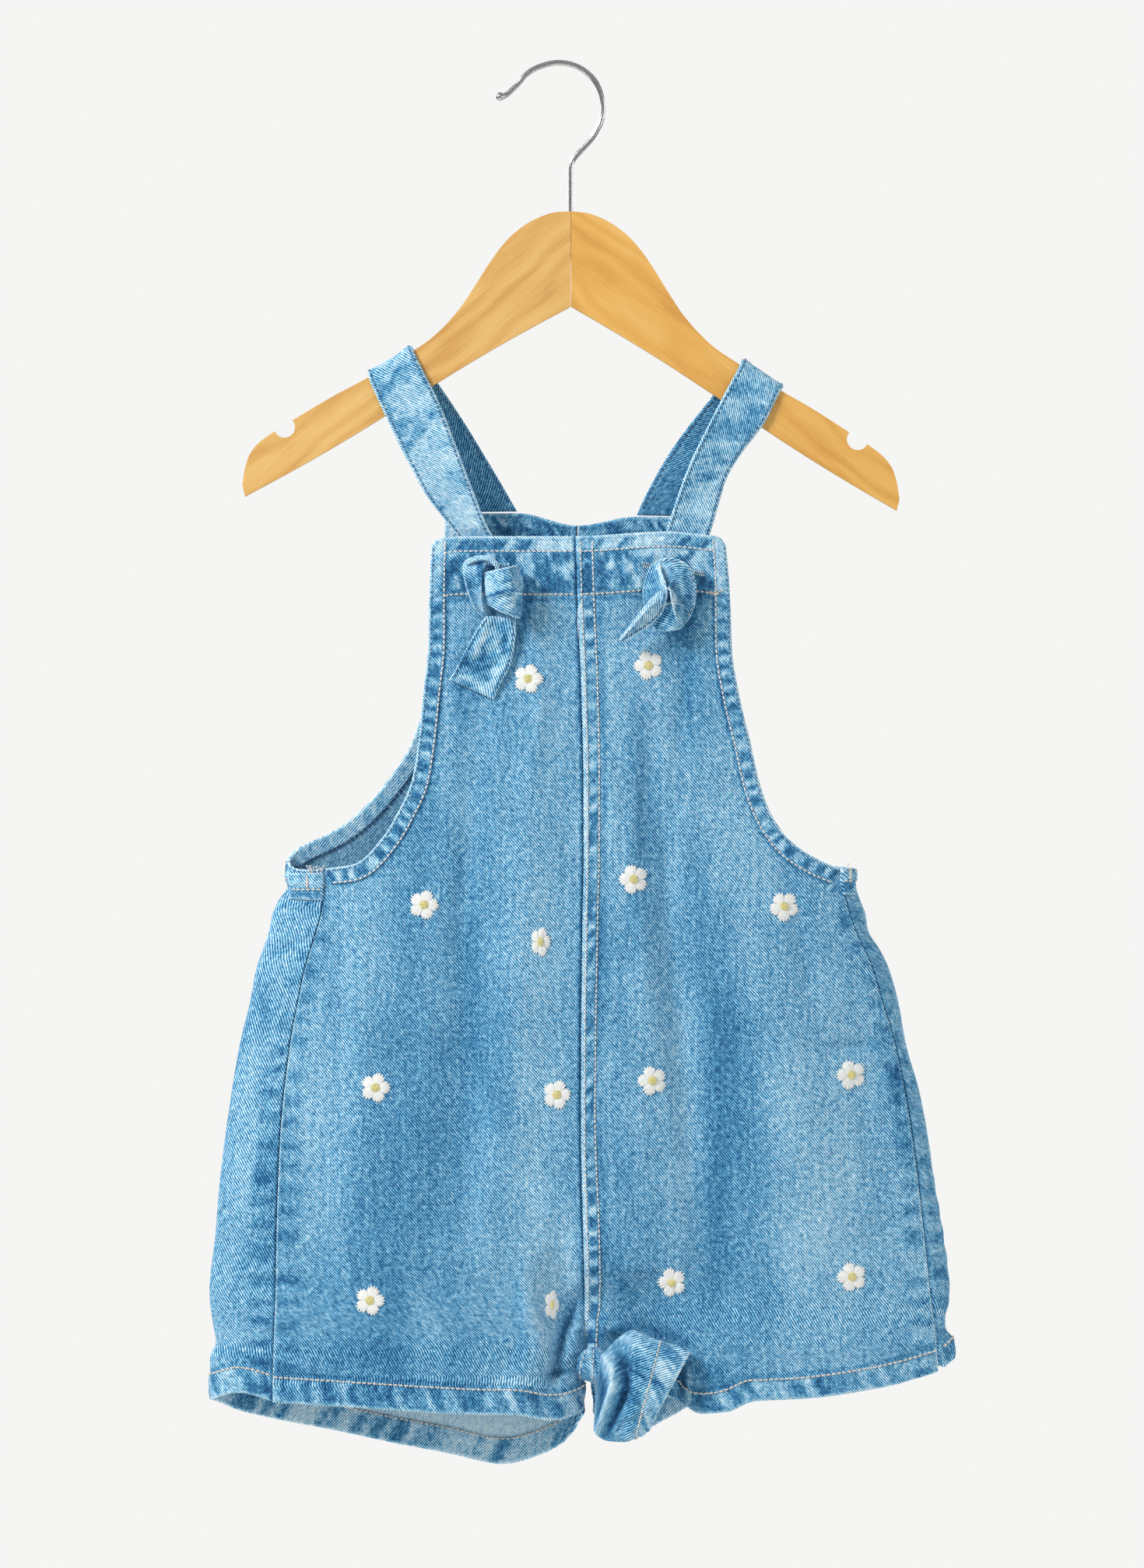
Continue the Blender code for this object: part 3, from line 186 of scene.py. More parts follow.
# Painted shade and painted light on the folds, creases and the hem slit, painted shadows by the
# knots, the underarm tab and the turned-out leg, and dark patches by the side seams: points, half
# width, how dark (+) or pale (-)
FRONT_LIGHT_SHADE_AND_WASH_MARKS = [([(-137, 428), (-138, 458)], 3, 0.5), ([(-138.5, 468), (-139, 500)], 3.2, 0.5),
    ([(-140, 508), (-141, 530)], 3, 0.45), ([(157, 470), (160, 490)], 4, 0.5),
    ([(161, 496), (163, 515)], 4, 0.45), ([(-38, 338), (-41, 400), (-42, 520)], 11, 0.46),
    ([(-13, 396), (-12, 450), (-12, 520), (-9, 570), (-9, 615)], 11, -0.62),
    ([(-66, 455), (-70, 530), (-80, 600)], 16, 0.36),
    ([(-112, 612), (-84, 604), (-66, 612)], 9, 0.4),
    ([(-112, 450), (-116, 520), (-118, 570)], 9, -0.4),
    ([(-32, 621), (-22, 618), (-12, 619)], 2.2, -0.8), ([(60, 608), (72, 616), (84, 618)], 5, 0.5),
    ([(30, 604), (44, 614), (52, 620)], 5, 0.5), ([(0, 300), (1, 330)], 3, -0.4),
    ([(-72, 326), (-80, 342), (-88, 352)], 6, -0.9),
    ([(-100, 400), (-98, 470), (-104, 560)], 9, -0.22), ([(2, 536), (3, 560), (4, 576)], 4, -0.55),
    ([(23, 556), (29, 572), (38, 584)], 5, 0.35), ([(9.5, 578), (2, 594), (-2, 612)], 2.2, 0.75),
    ([(-20, 576), (-17, 600), (-24, 618)], 3, 0.35),
    ([(-13, 580), (-7, 600), (-6, 612)], 2.6, -0.4), ([(-7, 616), (0, 614), (7, 613)], 1.6, 0.6),
    ([(17, 580), (18, 592), (14, 602)], 2.4, 0.4),
    ([(58, 366), (71, 396), (74, 440), (74, 560), (72, 610)], 10, 0.52),
    ([(33, 290), (37, 340), (39, 392), (26, 432)], 11, 0.44), ([(56, 254), (55, 278)], 8, 0.5),
    ([(118, 408), (128, 470), (136, 540), (140, 604)], 22, -0.42),
    ([(165, 478), (170, 560), (172, 610)], 10, -0.6),
    ([(100, 420), (104, 480), (112, 560)], 9, -0.25), ([(-45, 270), (-47, 340)], 4, 0.25),
    ([(22, 262), (26, 300), (30, 340)], 4, -0.25), ([(62, 262), (60, 320)], 4, 0.25),
    ([(-113, 574), (-130, 571), (-147, 570)], 2, 0.5),
    ([(-128, 611), (-145, 607), (-162, 604)], 2, 0.5),
    ([(-117, 410), (-128, 415), (-138, 419)], 2.4, 0.4),
    ([(125, 462), (142, 459), (158, 458)], 2.4, 0.35),
    ([(-40, 228.5), (-50, 236), (-56, 246)], 2.4, 0.55), ([(61.8, 610), (61.4, 630)], 0.8, -0.9),
    ([(57.5, 611), (57.5, 630)], 2.4, 0.9),
    ([(-124, 398), (-133, 440), (-143, 480), (-150, 540)], 9, -0.12),
    ([(-66, 640), (-70, 560)], 8, -0.2), ([(148, 420), (160, 450), (170, 500)], 6, -0.3),
    ([(67, 236), (67.5, 246), (63, 258), (57, 268)], 2.4, 0.6),
    ([(-15, 238), (-14, 250), (-16, 262), (-19, 276)], 2.2, 0.6),
    ([(-27, 299), (-40, 294), (-52, 289)], 1.6, 0.4),
    ([(-113, 394.6), (-120, 394.8), (-128, 393.6)], 1.3, 0.8),
    ([(16, 598), (24, 596), (34, 592), (44, 594), (56, 598), (64, 602)], 2.4, 0.5)]
BACK_LINES = [([(9, 570), (2, 590), (-8, 612)], 4, -1.6),
    ([(10, 570), (20, 590), (30, 606)], 4, -1.6), ([(-90, 380), (-80, 450), (-84, 540)], 7, -1),
    ([(60, 380), (52, 450), (60, 540)], 7, 1)]

SIGN = {"left": -1, "right": 1}
RIDGE_SIDE = "right"  # the felled centre seams lie on this side
SHELL = 1.05  # thickness of one shown layer of cloth
TURNED_LAYER = 1.05  # what a turned hem adds to it
LINE_GAIN = 1.35  # how much stronger the front's bent creases stand
SEAM_ROWS = 96
ARMHOLE_SHARES = np.concatenate(
    [np.linspace(0, 0.86, 60), np.linspace(0.864, 0.994, 32), [0.9965, 0.999, 1.0]]
)
COLUMNS = 92


def unit(value):
    return np.clip(value, 0, 1)


def smooth(value):
    """0 to 1 with no kinks at the ends."""
    value = unit(value)
    return value * value * (3 - 2 * value)


def window(value, low, high, soft):
    """1 between low and high, falling to 0 over soft on each side."""
    return smooth((value - low) / soft + 0.5) * smooth((high - value) / soft + 0.5)


LINE_LATTICE = 1024
PLANE_LATTICE = 256


def ripple(value):
    """A wave for each whole number."""
    return np.sin(2 * np.pi * value)


def noise1(value, seed):
    """Smooth numbers from -1 to 1 along a line, a new one at each whole number."""
    lattice = np.random.RandomState(seed).uniform(-1, 1, LINE_LATTICE)
    whole = np.floor(value).astype(int)
    t = smooth(value - whole)
    return lattice[whole % LINE_LATTICE] * (1 - t) + lattice[(whole + 1) % LINE_LATTICE] * t


def noise2(across, down, seed):
    """The same on a plane."""
    lattice = np.random.RandomState(seed).uniform(-1, 1, (PLANE_LATTICE, PLANE_LATTICE))
    i, j = np.floor(across).astype(int), np.floor(down).astype(int)
    s, t = smooth(across - i), smooth(down - j)
    i, j, i1, j1 = (k % PLANE_LATTICE for k in (i, j, i + 1, j + 1))
    near = lattice[i, j] * (1 - s) + lattice[i1, j] * s
    far = lattice[i, j1] * (1 - s) + lattice[i1, j1] * s
    return near * (1 - t) + far * t


def fold_height(folds, x, drop):
    height = np.zeros(np.broadcast(x, drop).shape)
    for x_start, drop_start, x_end, drop_end, half_width, rise in folds:
        run, fall = x_end - x_start, drop_end - drop_start
        length = math.hypot(run, fall)
        along = ((x - x_start) * run + (drop - drop_start) * fall) / length**2
        beside = ((x - x_start) * fall - (drop - drop_start) * run) / length
        fade = np.sin(np.pi * unit(along)) ** 0.7
        height = height + rise * fade * np.exp(-((beside / half_width) ** 2))
    return height


def line_height(lines, x, drop):
    """Relief of creases that follow bent lines: (points, half width, rise)."""
    height = np.zeros(np.broadcast(x, drop).shape)
    for points, half_width, rise in lines:
        points = np.array(points, float)
        nearest = np.full(height.shape, 1e9)
        share = np.zeros(height.shape)
        spans = len(points) - 1
        for k in range(spans):
            run = points[k + 1] - points[k]
            t = ((x - points[k, 0]) * run[0] + (drop - points[k, 1]) * run[1]) / (run @ run)
            held = unit(t)
            far = np.hypot(x - points[k, 0] - held * run[0], drop - points[k, 1] - held * run[1])
            share = np.where(far < nearest, (k + held) / spans, share)
            nearest = np.minimum(nearest, far)
        ends = np.sin(np.pi * np.clip(share, 0.04, 0.96)) ** 0.5
        height = height + rise * ends * np.exp(-((nearest / half_width) ** 2))
    return height


def blunt(value):
    return np.copysign(np.abs(value) ** BLUNTNESS, value)


def fold_x(side, drop):
    return OUTLINE(side, drop) - SIGN[side] * CLOTH / 2


def cloth_plan(side, around, drop):
    """x, and how far out to the front or back, as in the solids. around is 0 at the centre
    front, 1 at the side fold and 2 at the centre back."""
    around, drop = np.broadcast_arrays(np.asarray(around, float), np.asarray(drop, float))
    front = around < 1
    edge = fold_x(side, drop)
    split = unit((drop - LEG_SPLIT_START) / (CROTCH - LEG_SPLIT_START))
    legs = split**2 * (3 - 2 * split)
    seam = SEAMS("centre", drop)
    centre = np.where(front, seam, BACK_CENTRE + (seam - BACK_CENTRE) * legs)
    below_crotch = np.maximum(drop - CROTCH, 0)
    apart = LEG_APART * smooth((drop - CROTCH + 6) / 14)
    inner = centre + SIGN[side] * (apart + LEG_SPREAD * below_crotch)
    turn = np.pi * around
    across = (1 - legs) * np.sin(turn / 2) + legs * (1 - np.cos(turn)) / 2
    out = (1 - legs) * blunt(np.cos(turn / 2)) + legs * blunt(np.sin(turn))
    return inner + (edge - inner) * across, out, front, drop


def cloth_point(side, around, drop):
    """Middle of the cloth wall, with the narrow creases."""
    x, out, front, drop = cloth_plan(side, around, drop)
    depth = np.where(front, DEPTH("front", drop), DEPTH("back", drop))
    front_lift = fold_height(FRONT_FOLDS + FRONT_CREASES, x, drop)
    front_lift = front_lift + LINE_GAIN * line_height(FRONT_LINES, x, drop)
    back_lift = fold_height(BACK_FOLDS + BACK_CREASES, x, drop) + line_height(BACK_LINES, x, drop)
    ease = np.minimum(np.abs(out) * 1.6, 1)
    y = -depth * out + np.where(front, -front_lift, back_lift) * ease
    return np.stack([x, y, -drop], axis=-1)


def cloth_normal(side, around, drop):
    step, rise = 0.01, 1.5
    along = cloth_point(side, around + step, drop) - cloth_point(side, around - step, drop)
    up = cloth_point(side, around, drop - rise) - cloth_point(side, around, drop + rise)
    normal = np.cross(along, up) * SIGN[side]
    return normal / np.linalg.norm(normal, axis=-1, keepdims=True)


def around_step(side, around, drop, distance):
    """How far round a distance in millimetres takes one."""
    step = 0.004
    run = cloth_point(side, around + step, drop) - cloth_point(side, around - step, drop)
    return distance * 2 * step / np.linalg.norm(run)


def around_at(side, x, drop, back=False):
    """How far round the place with this x is."""
    edge = fold_x(side, drop)
    if back and SIGN[side] * (x - edge) > 0:
        x, back = 2 * edge - x, False
    places = np.linspace(1.0, 2.0, 801) if back else np.linspace(0.0, 1.0, 801)
    xs = SIGN[side] * cloth_plan(side, places, drop)[0]
    xs = np.minimum.accumulate(xs) if back else np.maximum.accumulate(xs)
    if back:
        xs, places = xs[::-1], places[::-1]
    return float(np.interp(SIGN[side] * x, xs, places))


def distances(points, axis=0):
    """How far each point of a line or grid lies from the first one along an axis."""
    runs = np.linalg.norm(np.diff(points, axis=axis), axis=-1)
    return np.insert(np.cumsum(runs, axis=axis), 0, 0, axis=axis)


def blend(grid, i, j, s, t):
    """Reads a grid s of the way from row i to the next one, and t of the way from column j."""
    upper = grid[i, j] * (1 - t) + grid[i, j + 1] * t
    lower = grid[i + 1, j] * (1 - t) + grid[i + 1, j + 1] * t
    return upper * (1 - s) + lower * s


def along_curve(points, share):
    points = np.array(points, float)
    lengths = distances(points)
    curve = Table("s x drop", np.column_stack([lengths / lengths[-1], points]))

    def at(s):
        return np.array([curve("x", s), curve("drop", s)])

    tangent = at(min(share + 0.01, 1)) - at(max(share - 0.01, 0))
    return at(share), tangent / np.linalg.norm(tangent)


# How far round the garment a place is, on the flat cloth

ARC_STEP = 4.0
ARC_CELLS = 320
ARC_DROPS = np.arange(200, 672, ARC_STEP)
ARC_GRID = np.meshgrid(np.linspace(0, 2, ARC_CELLS + 1), ARC_DROPS)
ARCS = {side: distances(cloth_point(side, *ARC_GRID), 1) for side in SIGN}


def flat_across(side, around, drop):
    """Distance from the centre front along the cloth at one level, in millimetres."""
    i = np.clip((drop - ARC_DROPS[0]) / ARC_STEP, 0, len(ARC_DROPS) - 1.001)
    j = np.clip(around / 2 * ARC_CELLS, 0, ARC_CELLS - 0.001)
    i0, j0 = i.astype(int), j.astype(int)
    return SIGN[side] * blend(ARCS[side], i0, j0, i - i0, j - j0)


# Building closed shells


def add_shell(name, points, faces, flat, traits, finish):
    """A mesh object from points in millimetres. flat is each point's place on the flat cloth,
    and traits are the numbers that the material reads at each point."""
    mesh = bpy.data.meshes.new(name)
    mesh.from_pydata((np.asarray(points) * MM).tolist(), [], faces)
    shape = bmesh.new()
    shape.from_mesh(mesh)
    bmesh.ops.recalc_face_normals(shape, faces=shape.faces)
    shape.to_mesh(mesh)
    shape.free()
    if flat is not None:
        layer = mesh.uv_layers.new(name="flat")
        corners = np.zeros(len(mesh.loops), int)
        mesh.loops.foreach_get("vertex_index", corners)
        layer.data.foreach_set("uv", (np.asarray(flat)[corners] * MM).astype(np.float32).ravel())
    for trait, values in (traits or {}).items():
        attribute = mesh.attributes.new(trait, "FLOAT", "POINT")
        attribute.data.foreach_set("value", np.asarray(values, np.float32).ravel())
    mesh.materials.append(finish)
    mesh.shade_smooth()
    made = bpy.data.objects.new(name, mesh)
    bpy.context.scene.collection.objects.link(made)
    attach(made, "root")
    return made


def grid_faces(rows, columns, start, flip):
    a = start + np.arange(rows - 1)[:, None] * columns + np.arange(columns - 1)[None, :]
    faces = np.stack([a, a + 1, a + columns + 1, a + columns], axis=-1).reshape(-1, 4)
    return (faces[:, ::-1] if flip else faces).tolist()


def rim_faces(rim, other):
    """Joins a loop of points to the same loop, that many points further on."""
    return [(b, a, a + other, b + other) for a, b in zip(rim, rim[1:] + rim[:1])]


def add_wall(name, outer, inner, flat, outer_traits, inner_traits, finish):
    """A closed wall between two grids of points."""
    rows, columns = outer.shape[:2]
    other = rows * columns
    rim = list(range(columns))
    rim += [j * columns + columns - 1 for j in range(1, rows)]
    rim += [(rows - 1) * columns + i for i in range(columns - 2, -1, -1)]
    rim += [j * columns for j in range(rows - 2, 0, -1)]
    faces = grid_faces(rows, columns, 0, False) + grid_faces(rows, columns, other, True)
    faces += rim_faces(rim, other)
    points = np.concatenate([outer.reshape(-1, 3), inner.reshape(-1, 3)])
    flat = np.concatenate([flat.reshape(-1, 2)] * 2)
    both = {k: (outer_traits[k], inner_traits[k]) for k in outer_traits}
    traits = {k: np.concatenate([np.ravel(values) for values in both[k]]) for k in both}
    return add_shell(name, points, faces, flat, traits, finish)


def grid_normals(middle):
    normals = np.cross(np.gradient(middle, axis=1), np.gradient(middle, axis=0))
    return normals / np.linalg.norm(normals, axis=2)[..., None]


def row_edges(side, back):
    """The panel's outer edge and its turned band's inner edge, as in the solids with more rows."""
    outward = 1 if back else -1
    underarm = float(SEAMS(side, UNDERARM))
    if back:
        underarm = 2 * float(fold_x(side, UNDERARM)) - underarm
    armhole = [(underarm, UNDERARM)] + (BACK_ARMHOLE if back else FRONT_ARMHOLE)[side]
    rows = []

    def add_seam_row(kind, share, drop):
        seam = around_at(side, float(SEAMS(side, drop)), drop)
        edge = seam + outward * around_step(side, seam, drop, SEAM_GAP / 2)
        hem = seam + outward * around_step(side, seam, drop, SIDE_SEAM_WIDTH)
        rows.append((kind, share, (edge, drop), (hem, drop)))

    seam_bottom = float(SEAMS(side, SEAM_FOOT))
    if back:
        seam_bottom = 2 * float(fold_x(side, SEAM_FOOT)) - seam_bottom
    hem = (BACK_HEM if back else FRONT_HEM)[side]
    bottom = float(hem("drop", seam_bottom))
    width = LEG_HEM_WIDTH[side]
    for rise in (0, 0.026, 0.07, 0.14, 0.26, 0.4, 0.54, 0.68, 0.8, 0.88, 0.94, 1):
        add_seam_row("hem", rise * width, bottom - rise * width)
    lowest = bottom - width - 1.0
    for j in range(SEAM_ROWS):
        share = (j / SEAM_ROWS) ** 1.06
        add_seam_row("seam", share, lowest + (UNDERARM - lowest) * share)
    for share in ARMHOLE_SHARES:
        along = share**1.45
        point, tangent = along_curve(armhole, along)
        inward = np.array([-tangent[1], tangent[0]]) * -SIGN[side]
        start = np.array([-0.45 * SIGN[side], 0.89])
        inward += (start - inward) * max(1 - along / 0.08, 0)
        inward /= np.linalg.norm(inward)
        hem_point = point + inward * ARMHOLE_HEM_WIDTH
        edge = around_at(side, point[0], point[1], back)
        if share == 0:
            edge += outward * around_step(side, edge, point[1], SEAM_GAP / 2)
        inner = around_at(side, hem_point[0], hem_point[1], back)
        rows.append(("armhole", share, (edge, point[1]), (inner, hem_point[1])))
    return rows


def unrolled_x(side, around, drop, back):
    x = cloth_plan(side, around, drop)[0]
    if back:
        x = np.where(around < 1, 2 * fold_x(side, drop) - x, x)
    return x


# Columns beside the centre seam, as distances from it; a panel with no ridge has the first six
SEAM_STOPS = [SEAM_GAP / 2, 0.35, 0.7, 1.2, 1.9, 2.8, 3.8, 5.2, 6.6, 7.5, 8.2, 9.0]
# Columns of the turned band at the outer edge
BAND_SHARES = np.array(
    [0.05, 0.095, 0.14, 0.2, 0.3, 0.42, 0.54, 0.65, 0.74, 0.81, 0.86, 0.9, 0.94, 0.975, 1.0]
)


def panel_places(side, back, ridge):
    """The panel's grid as (around, drop), with each row's kind."""
    centre_around = 2.0 if back else 0.0
    top_curve = BACK_TOP if back else FRONT_TOP
    centre_top = float(top_curve("drop", BACK_CENTRE if back else SEAMS("centre", BIB_TOP)))
    hem_curve = (BACK_HEM if back else FRONT_HEM)[side]
    rows = row_edges(side, back)
    underarm_hem = next(row for row in rows if row[0] == "armhole")[3]
    underarm_drop = underarm_hem[1] + 1.0
    outs = np.linspace(0, 1, 241) ** 1.6

    def row_drop(kind, share, hem, around, guess):
        out = (around - centre_around) / (hem[0] - centre_around)
        if kind == "armhole":
            centre = UNDERARM_ROW_CENTRE + (centre_top - UNDERARM_ROW_CENTRE) * share
            return centre + (hem[1] - centre) * out
        x = unrolled_x(side, around, guess, back)
        if kind == "hem":
            return hem_curve("drop", x) - share
        lower = hem_curve("drop", x) - LEG_HEM_WIDTH[side] - 1.0
        upper = UNDERARM_ROW_CENTRE + (underarm_drop - UNDERARM_ROW_CENTRE) * out
        return lower + (upper - lower) * share

    lines = []
    for kind, share, edge, hem in rows:
        samples = centre_around + (hem[0] - centre_around) * outs
        drops = np.full(len(outs), float(edge[1]))
        for _ in range(7):
            drops = row_drop(kind, share, hem, samples, drops)
        lines.append((samples, drops))
    top_gap = top_curve("drop", cloth_point(side, *lines[-1])[:, 0]) - lines[-1][1]
    grid = []
    for (kind, share, edge, hem), (samples, drops) in zip(rows, lines):
        if kind == "armhole":
            drops = drops + top_gap * smooth((share - 0.72) / 0.28)
        line = cloth_point(side, samples, drops)
        steps = np.diff(line, axis=0)
        runs = np.linalg.norm(steps, axis=1)
        lengths = distances(line)
        cosines = np.sum(steps[1:] * steps[:-1], axis=1) / (runs[1:] * runs[:-1])
        bends = np.concatenate([[0], np.arccos(np.clip(cosines, -1, 1))])
        weights = np.concatenate([[0], np.cumsum(runs + 0.3 * BEND_WEIGHT * bends)])
        stops = SEAM_STOPS if ridge else SEAM_STOPS[:6]
        start = np.interp(stops[-1], lengths, weights)
        between = np.linspace(start, weights[-1], COLUMNS + 1)[1:]
        near, far = np.interp(stops, lengths, outs), np.interp(between, weights, outs)
        chosen = np.concatenate([near, far])
        around = np.interp(chosen, outs, samples)
        drop = np.interp(chosen, outs, drops)
        band_around = around[-1] + (edge[0] - around[-1]) * BAND_SHARES
        band_drop = drop[-1] + (edge[1] - drop[-1]) * BAND_SHARES
        grid.append(np.column_stack([np.append(around, band_around), np.append(drop, band_drop)]))
    grid = np.array(grid)
    grid[-1, :, 1] = top_curve("drop", cloth_point(side, grid[-1, :, 0], grid[-1, :, 1])[:, 0])
    return grid, np.array([row[0] for row in rows])


def panel_measures(side, back, grid, kinds):
    """Distances in millimetres from each edge of the panel, and along its outer edge."""
    around, drop = grid[..., 0], grid[..., 1]
    middle = cloth_point(side, around, drop)
    from_centre = distances(middle, 1)
    from_edge = from_centre[:, -1:] - from_centre
    from_bottom = distances(middle)
    from_top = from_bottom[-1:] - from_bottom
    underarm_row = int(np.argmax(kinds == "armhole"))
    armhole = (np.arange(len(kinds)) > underarm_row).astype(float)[:, None]
    along_edge = from_bottom[:, -1] - from_bottom[underarm_row, -1]
    return middle, {
        "centre": from_centre,
        "edge": from_edge,
        "bottom": from_bottom,
        "top": from_top,
        "armhole": np.broadcast_to(armhole, drop.shape),
        "edge_run": np.broadcast_to(along_edge[:, None], drop.shape),
        "across": flat_across(side, around, drop) - back * flat_across(side, 0 * around + 2, drop),
        "drop": drop,
        "around": around,
    }


def rim_round(distance, width):
    """Half thickness near a rim, as a share, so that the edge is rounded."""
    near = unit(distance / width)
    return 0.22 + 0.78 * np.sqrt(1 - (1 - near) ** 2)


GRIDS = {}
PANEL_SEEDS = {"front_left": 1, "front_right": 2, "back_left": 3, "back_right": 4}


def make_panel(side, back):
    name = ("back_" if back else "front_") + side
    ridge = side == RIDGE_SIDE
    grid, kinds = panel_places(side, back, ridge)
    middle, m = panel_measures(side, back, grid, kinds)
    GRIDS[name] = (grid, kinds, m)
    u, drop, edge, bottom, top, centre, arm, run = (
        m[k] for k in ("across", "drop", "edge", "bottom", "top", "centre", "armhole", "edge_run")
    )
    normals = cloth_normal(side, grid[..., 0], grid[..., 1])
    seed = PANEL_SEEDS[name]
    armhole_hem = arm * smooth((ARMHOLE_HEM_WIDTH - edge) / 0.8)
    hem_width = LEG_HEM_WIDTH[side]
    leg_hem = smooth((hem_width - bottom) / 0.8)
    facing = smooth((BIB_FACING_DEPTH - top) / 1.2)
    felled = smooth((SEAM_RIDGE_WIDTH - centre) / 0.7) if ridge else 0 * centre
    turned = np.maximum(np.maximum(armhole_hem, leg_hem), np.maximum(facing, felled))

    # Puckers that run across the bands
    arm_wave = ripple(run / 6.8 + 0.35 * noise1(run / 11, seed + 10))
    leg_wave = ripple((u + 0.7 * bottom) / 8.6 + 0.4 * noise1(u / 17, seed + 20))
    bib_wave = ripple(u / 7.4 + 0.5 * noise1(u / 13, seed + 30))
    seam_wave = ripple(drop / 9.5 + 0.5 * noise1(drop / 21, seed + 40))
    inside_arm = window(edge, 1.2, ARMHOLE_HEM_WIDTH - 1, 2)
    pucker = 0.30 * arm_wave * armhole_hem * inside_arm
    pucker += 0.34 * leg_wave * leg_hem * window(bottom, 1.2, hem_width - 1.4, 2)
    pucker += 0.16 * bib_wave * facing * window(top, 8, 26, 4)
    pucker += 0.22 * bib_wave * window(top, 1, 6.4, 1.5)
    if ridge:
        pucker += 0.20 * seam_wave * window(centre, 2.6, 7.4, 1.2)
    # Pulls in the cloth beside the seams
    pucker += 0.30 * arm_wave * arm * window(edge, 8.5, 15, 5) * 0.5
    pucker += 0.35 * leg_wave * window(bottom, hem_width + 0.5, hem_width + 9, 5) * 0.6
    pucker += 0.25 * seam_wave * window(centre, 8.5 if ridge else 0.5, 16, 6) * 0.6
    side_wave = ripple(drop / 12.0 + 0.6 * noise1(drop / 25, seed + 50))
    below = 1 - arm
    pucker += 0.35 * side_wave * below * window(edge, 0.5, 15, 6) * 0.7
    # Soft unevenness of the whole cloth
    rough = 0.34 * noise2(u / 34 + 60, drop / 70 + 9, seed + 60)
    rough += 0.16 * noise2(u / 12 + 90, drop / 26 + 30, seed + 70)
    rough *= 1 - 0.7 * turned

    half = 0.5 * (SHELL + TURNED_LAYER * turned)
    rim = np.minimum(rim_round(edge, 0.9), rim_round(bottom, 0.9))
    rim = np.minimum(rim, rim_round(top, 1.0))
    rim = np.minimum(rim, rim_round(centre - SEAM_GAP / 2 + 0.05, 0.8))
    # Stitch rows pull the layers together
    rows = [
        window(edge, 7.2, 7.8, 0.8) * arm,
        window(bottom, hem_width - 1.3, hem_width - 0.7, 0.8),
        window(top, 6.8, 7.4, 0.8),
        window(top, 27.0, 27.6, 0.8),
    ]
    if ridge:
        rows += [window(centre, 2.0, 2.4, 0.7), window(centre, 7.6, 8.0, 0.7)]
    pulled = sum(rows) * 0.22
    lip = 0.35 * window(centre, 0.5, 1.9, 0.9) if ridge else 0.0
    outer = middle + normals * ((half + lip) * rim + pucker + rough - pulled)[..., None]
    inner = middle - normals * (half * rim - 0.6 * pucker - rough - 0.5 * pulled)[..., None]
    wear_and_light, dark_and_shade = panel_shades(side, back, ridge, m, seed)
    flat = np.stack([u, drop], axis=-1)
    folded_in = np.maximum(np.maximum(armhole_hem, leg_hem), facing)
    keep = 0.35 + 0.65 * folded_in
    outer_traits = {"wear_and_light": wear_and_light, "dark_and_shade": dark_and_shade, "inside": 0 * wear_and_light}
    # Inside faces: painted light low down, where light comes in under the legs, and painted shade
    # high up inside the bib and armholes
    low = smooth((drop - 560) / 60)
    inside_wear_and_light = unit(keep * wear_and_light + (0.9 - 0.75 * leg_hem) * low)
    high = 1 - smooth((drop - 380) / 70)
    inside_dark_and_shade = unit(keep * dark_and_shade * (1 - 0.3 * low) + 0.55 * high)
    if back:
        inside_wear_and_light = unit(inside_wear_and_light + armhole_hem * (0.55 + 0.25 * arm_wave))
        inside_dark_and_shade = inside_dark_and_shade * (1 - 0.6 * armhole_hem)
        slant = blots(u + 0.5 * bottom, 3.4, seed + 210, 0.0)
        inside_wear_and_light = unit(inside_wear_and_light + 0.55 * leg_hem * unit(-slant))
        inside_dark_and_shade = unit(inside_dark_and_shade * (1 - 0.7 * leg_hem) + 0.6 * leg_hem * unit(slant))
    inner_traits = {"wear_and_light": inside_wear_and_light, "dark_and_shade": inside_dark_and_shade, "inside": 1 - folded_in}
    made = add_wall(name + "_cloth", outer, inner, flat, outer_traits, inner_traits, denim)
    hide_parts(name)
    panels[name] = made


def patches(run, pitch, seed, fill):
    """Uneven squares of dark and pale along a band, from -1 to 1."""
    cell = run / pitch + 0.55 * noise1(run / (1.9 * pitch), seed)
    wave = ripple(cell) + fill
    strength = 0.8 + 0.4 * noise1(run / (1.3 * pitch), seed + 1)
    return np.clip(wave * 2.4, -1, 1) * strength


def blots(run, size, seed, fill):
    """Irregular dark and pale patches, from -1 to 1."""
    wave = noise1(run / size, seed) + 0.5 * noise1(run / (0.45 * size), seed + 1) + fill
    return np.clip(wave * 2.0, -1, 1)


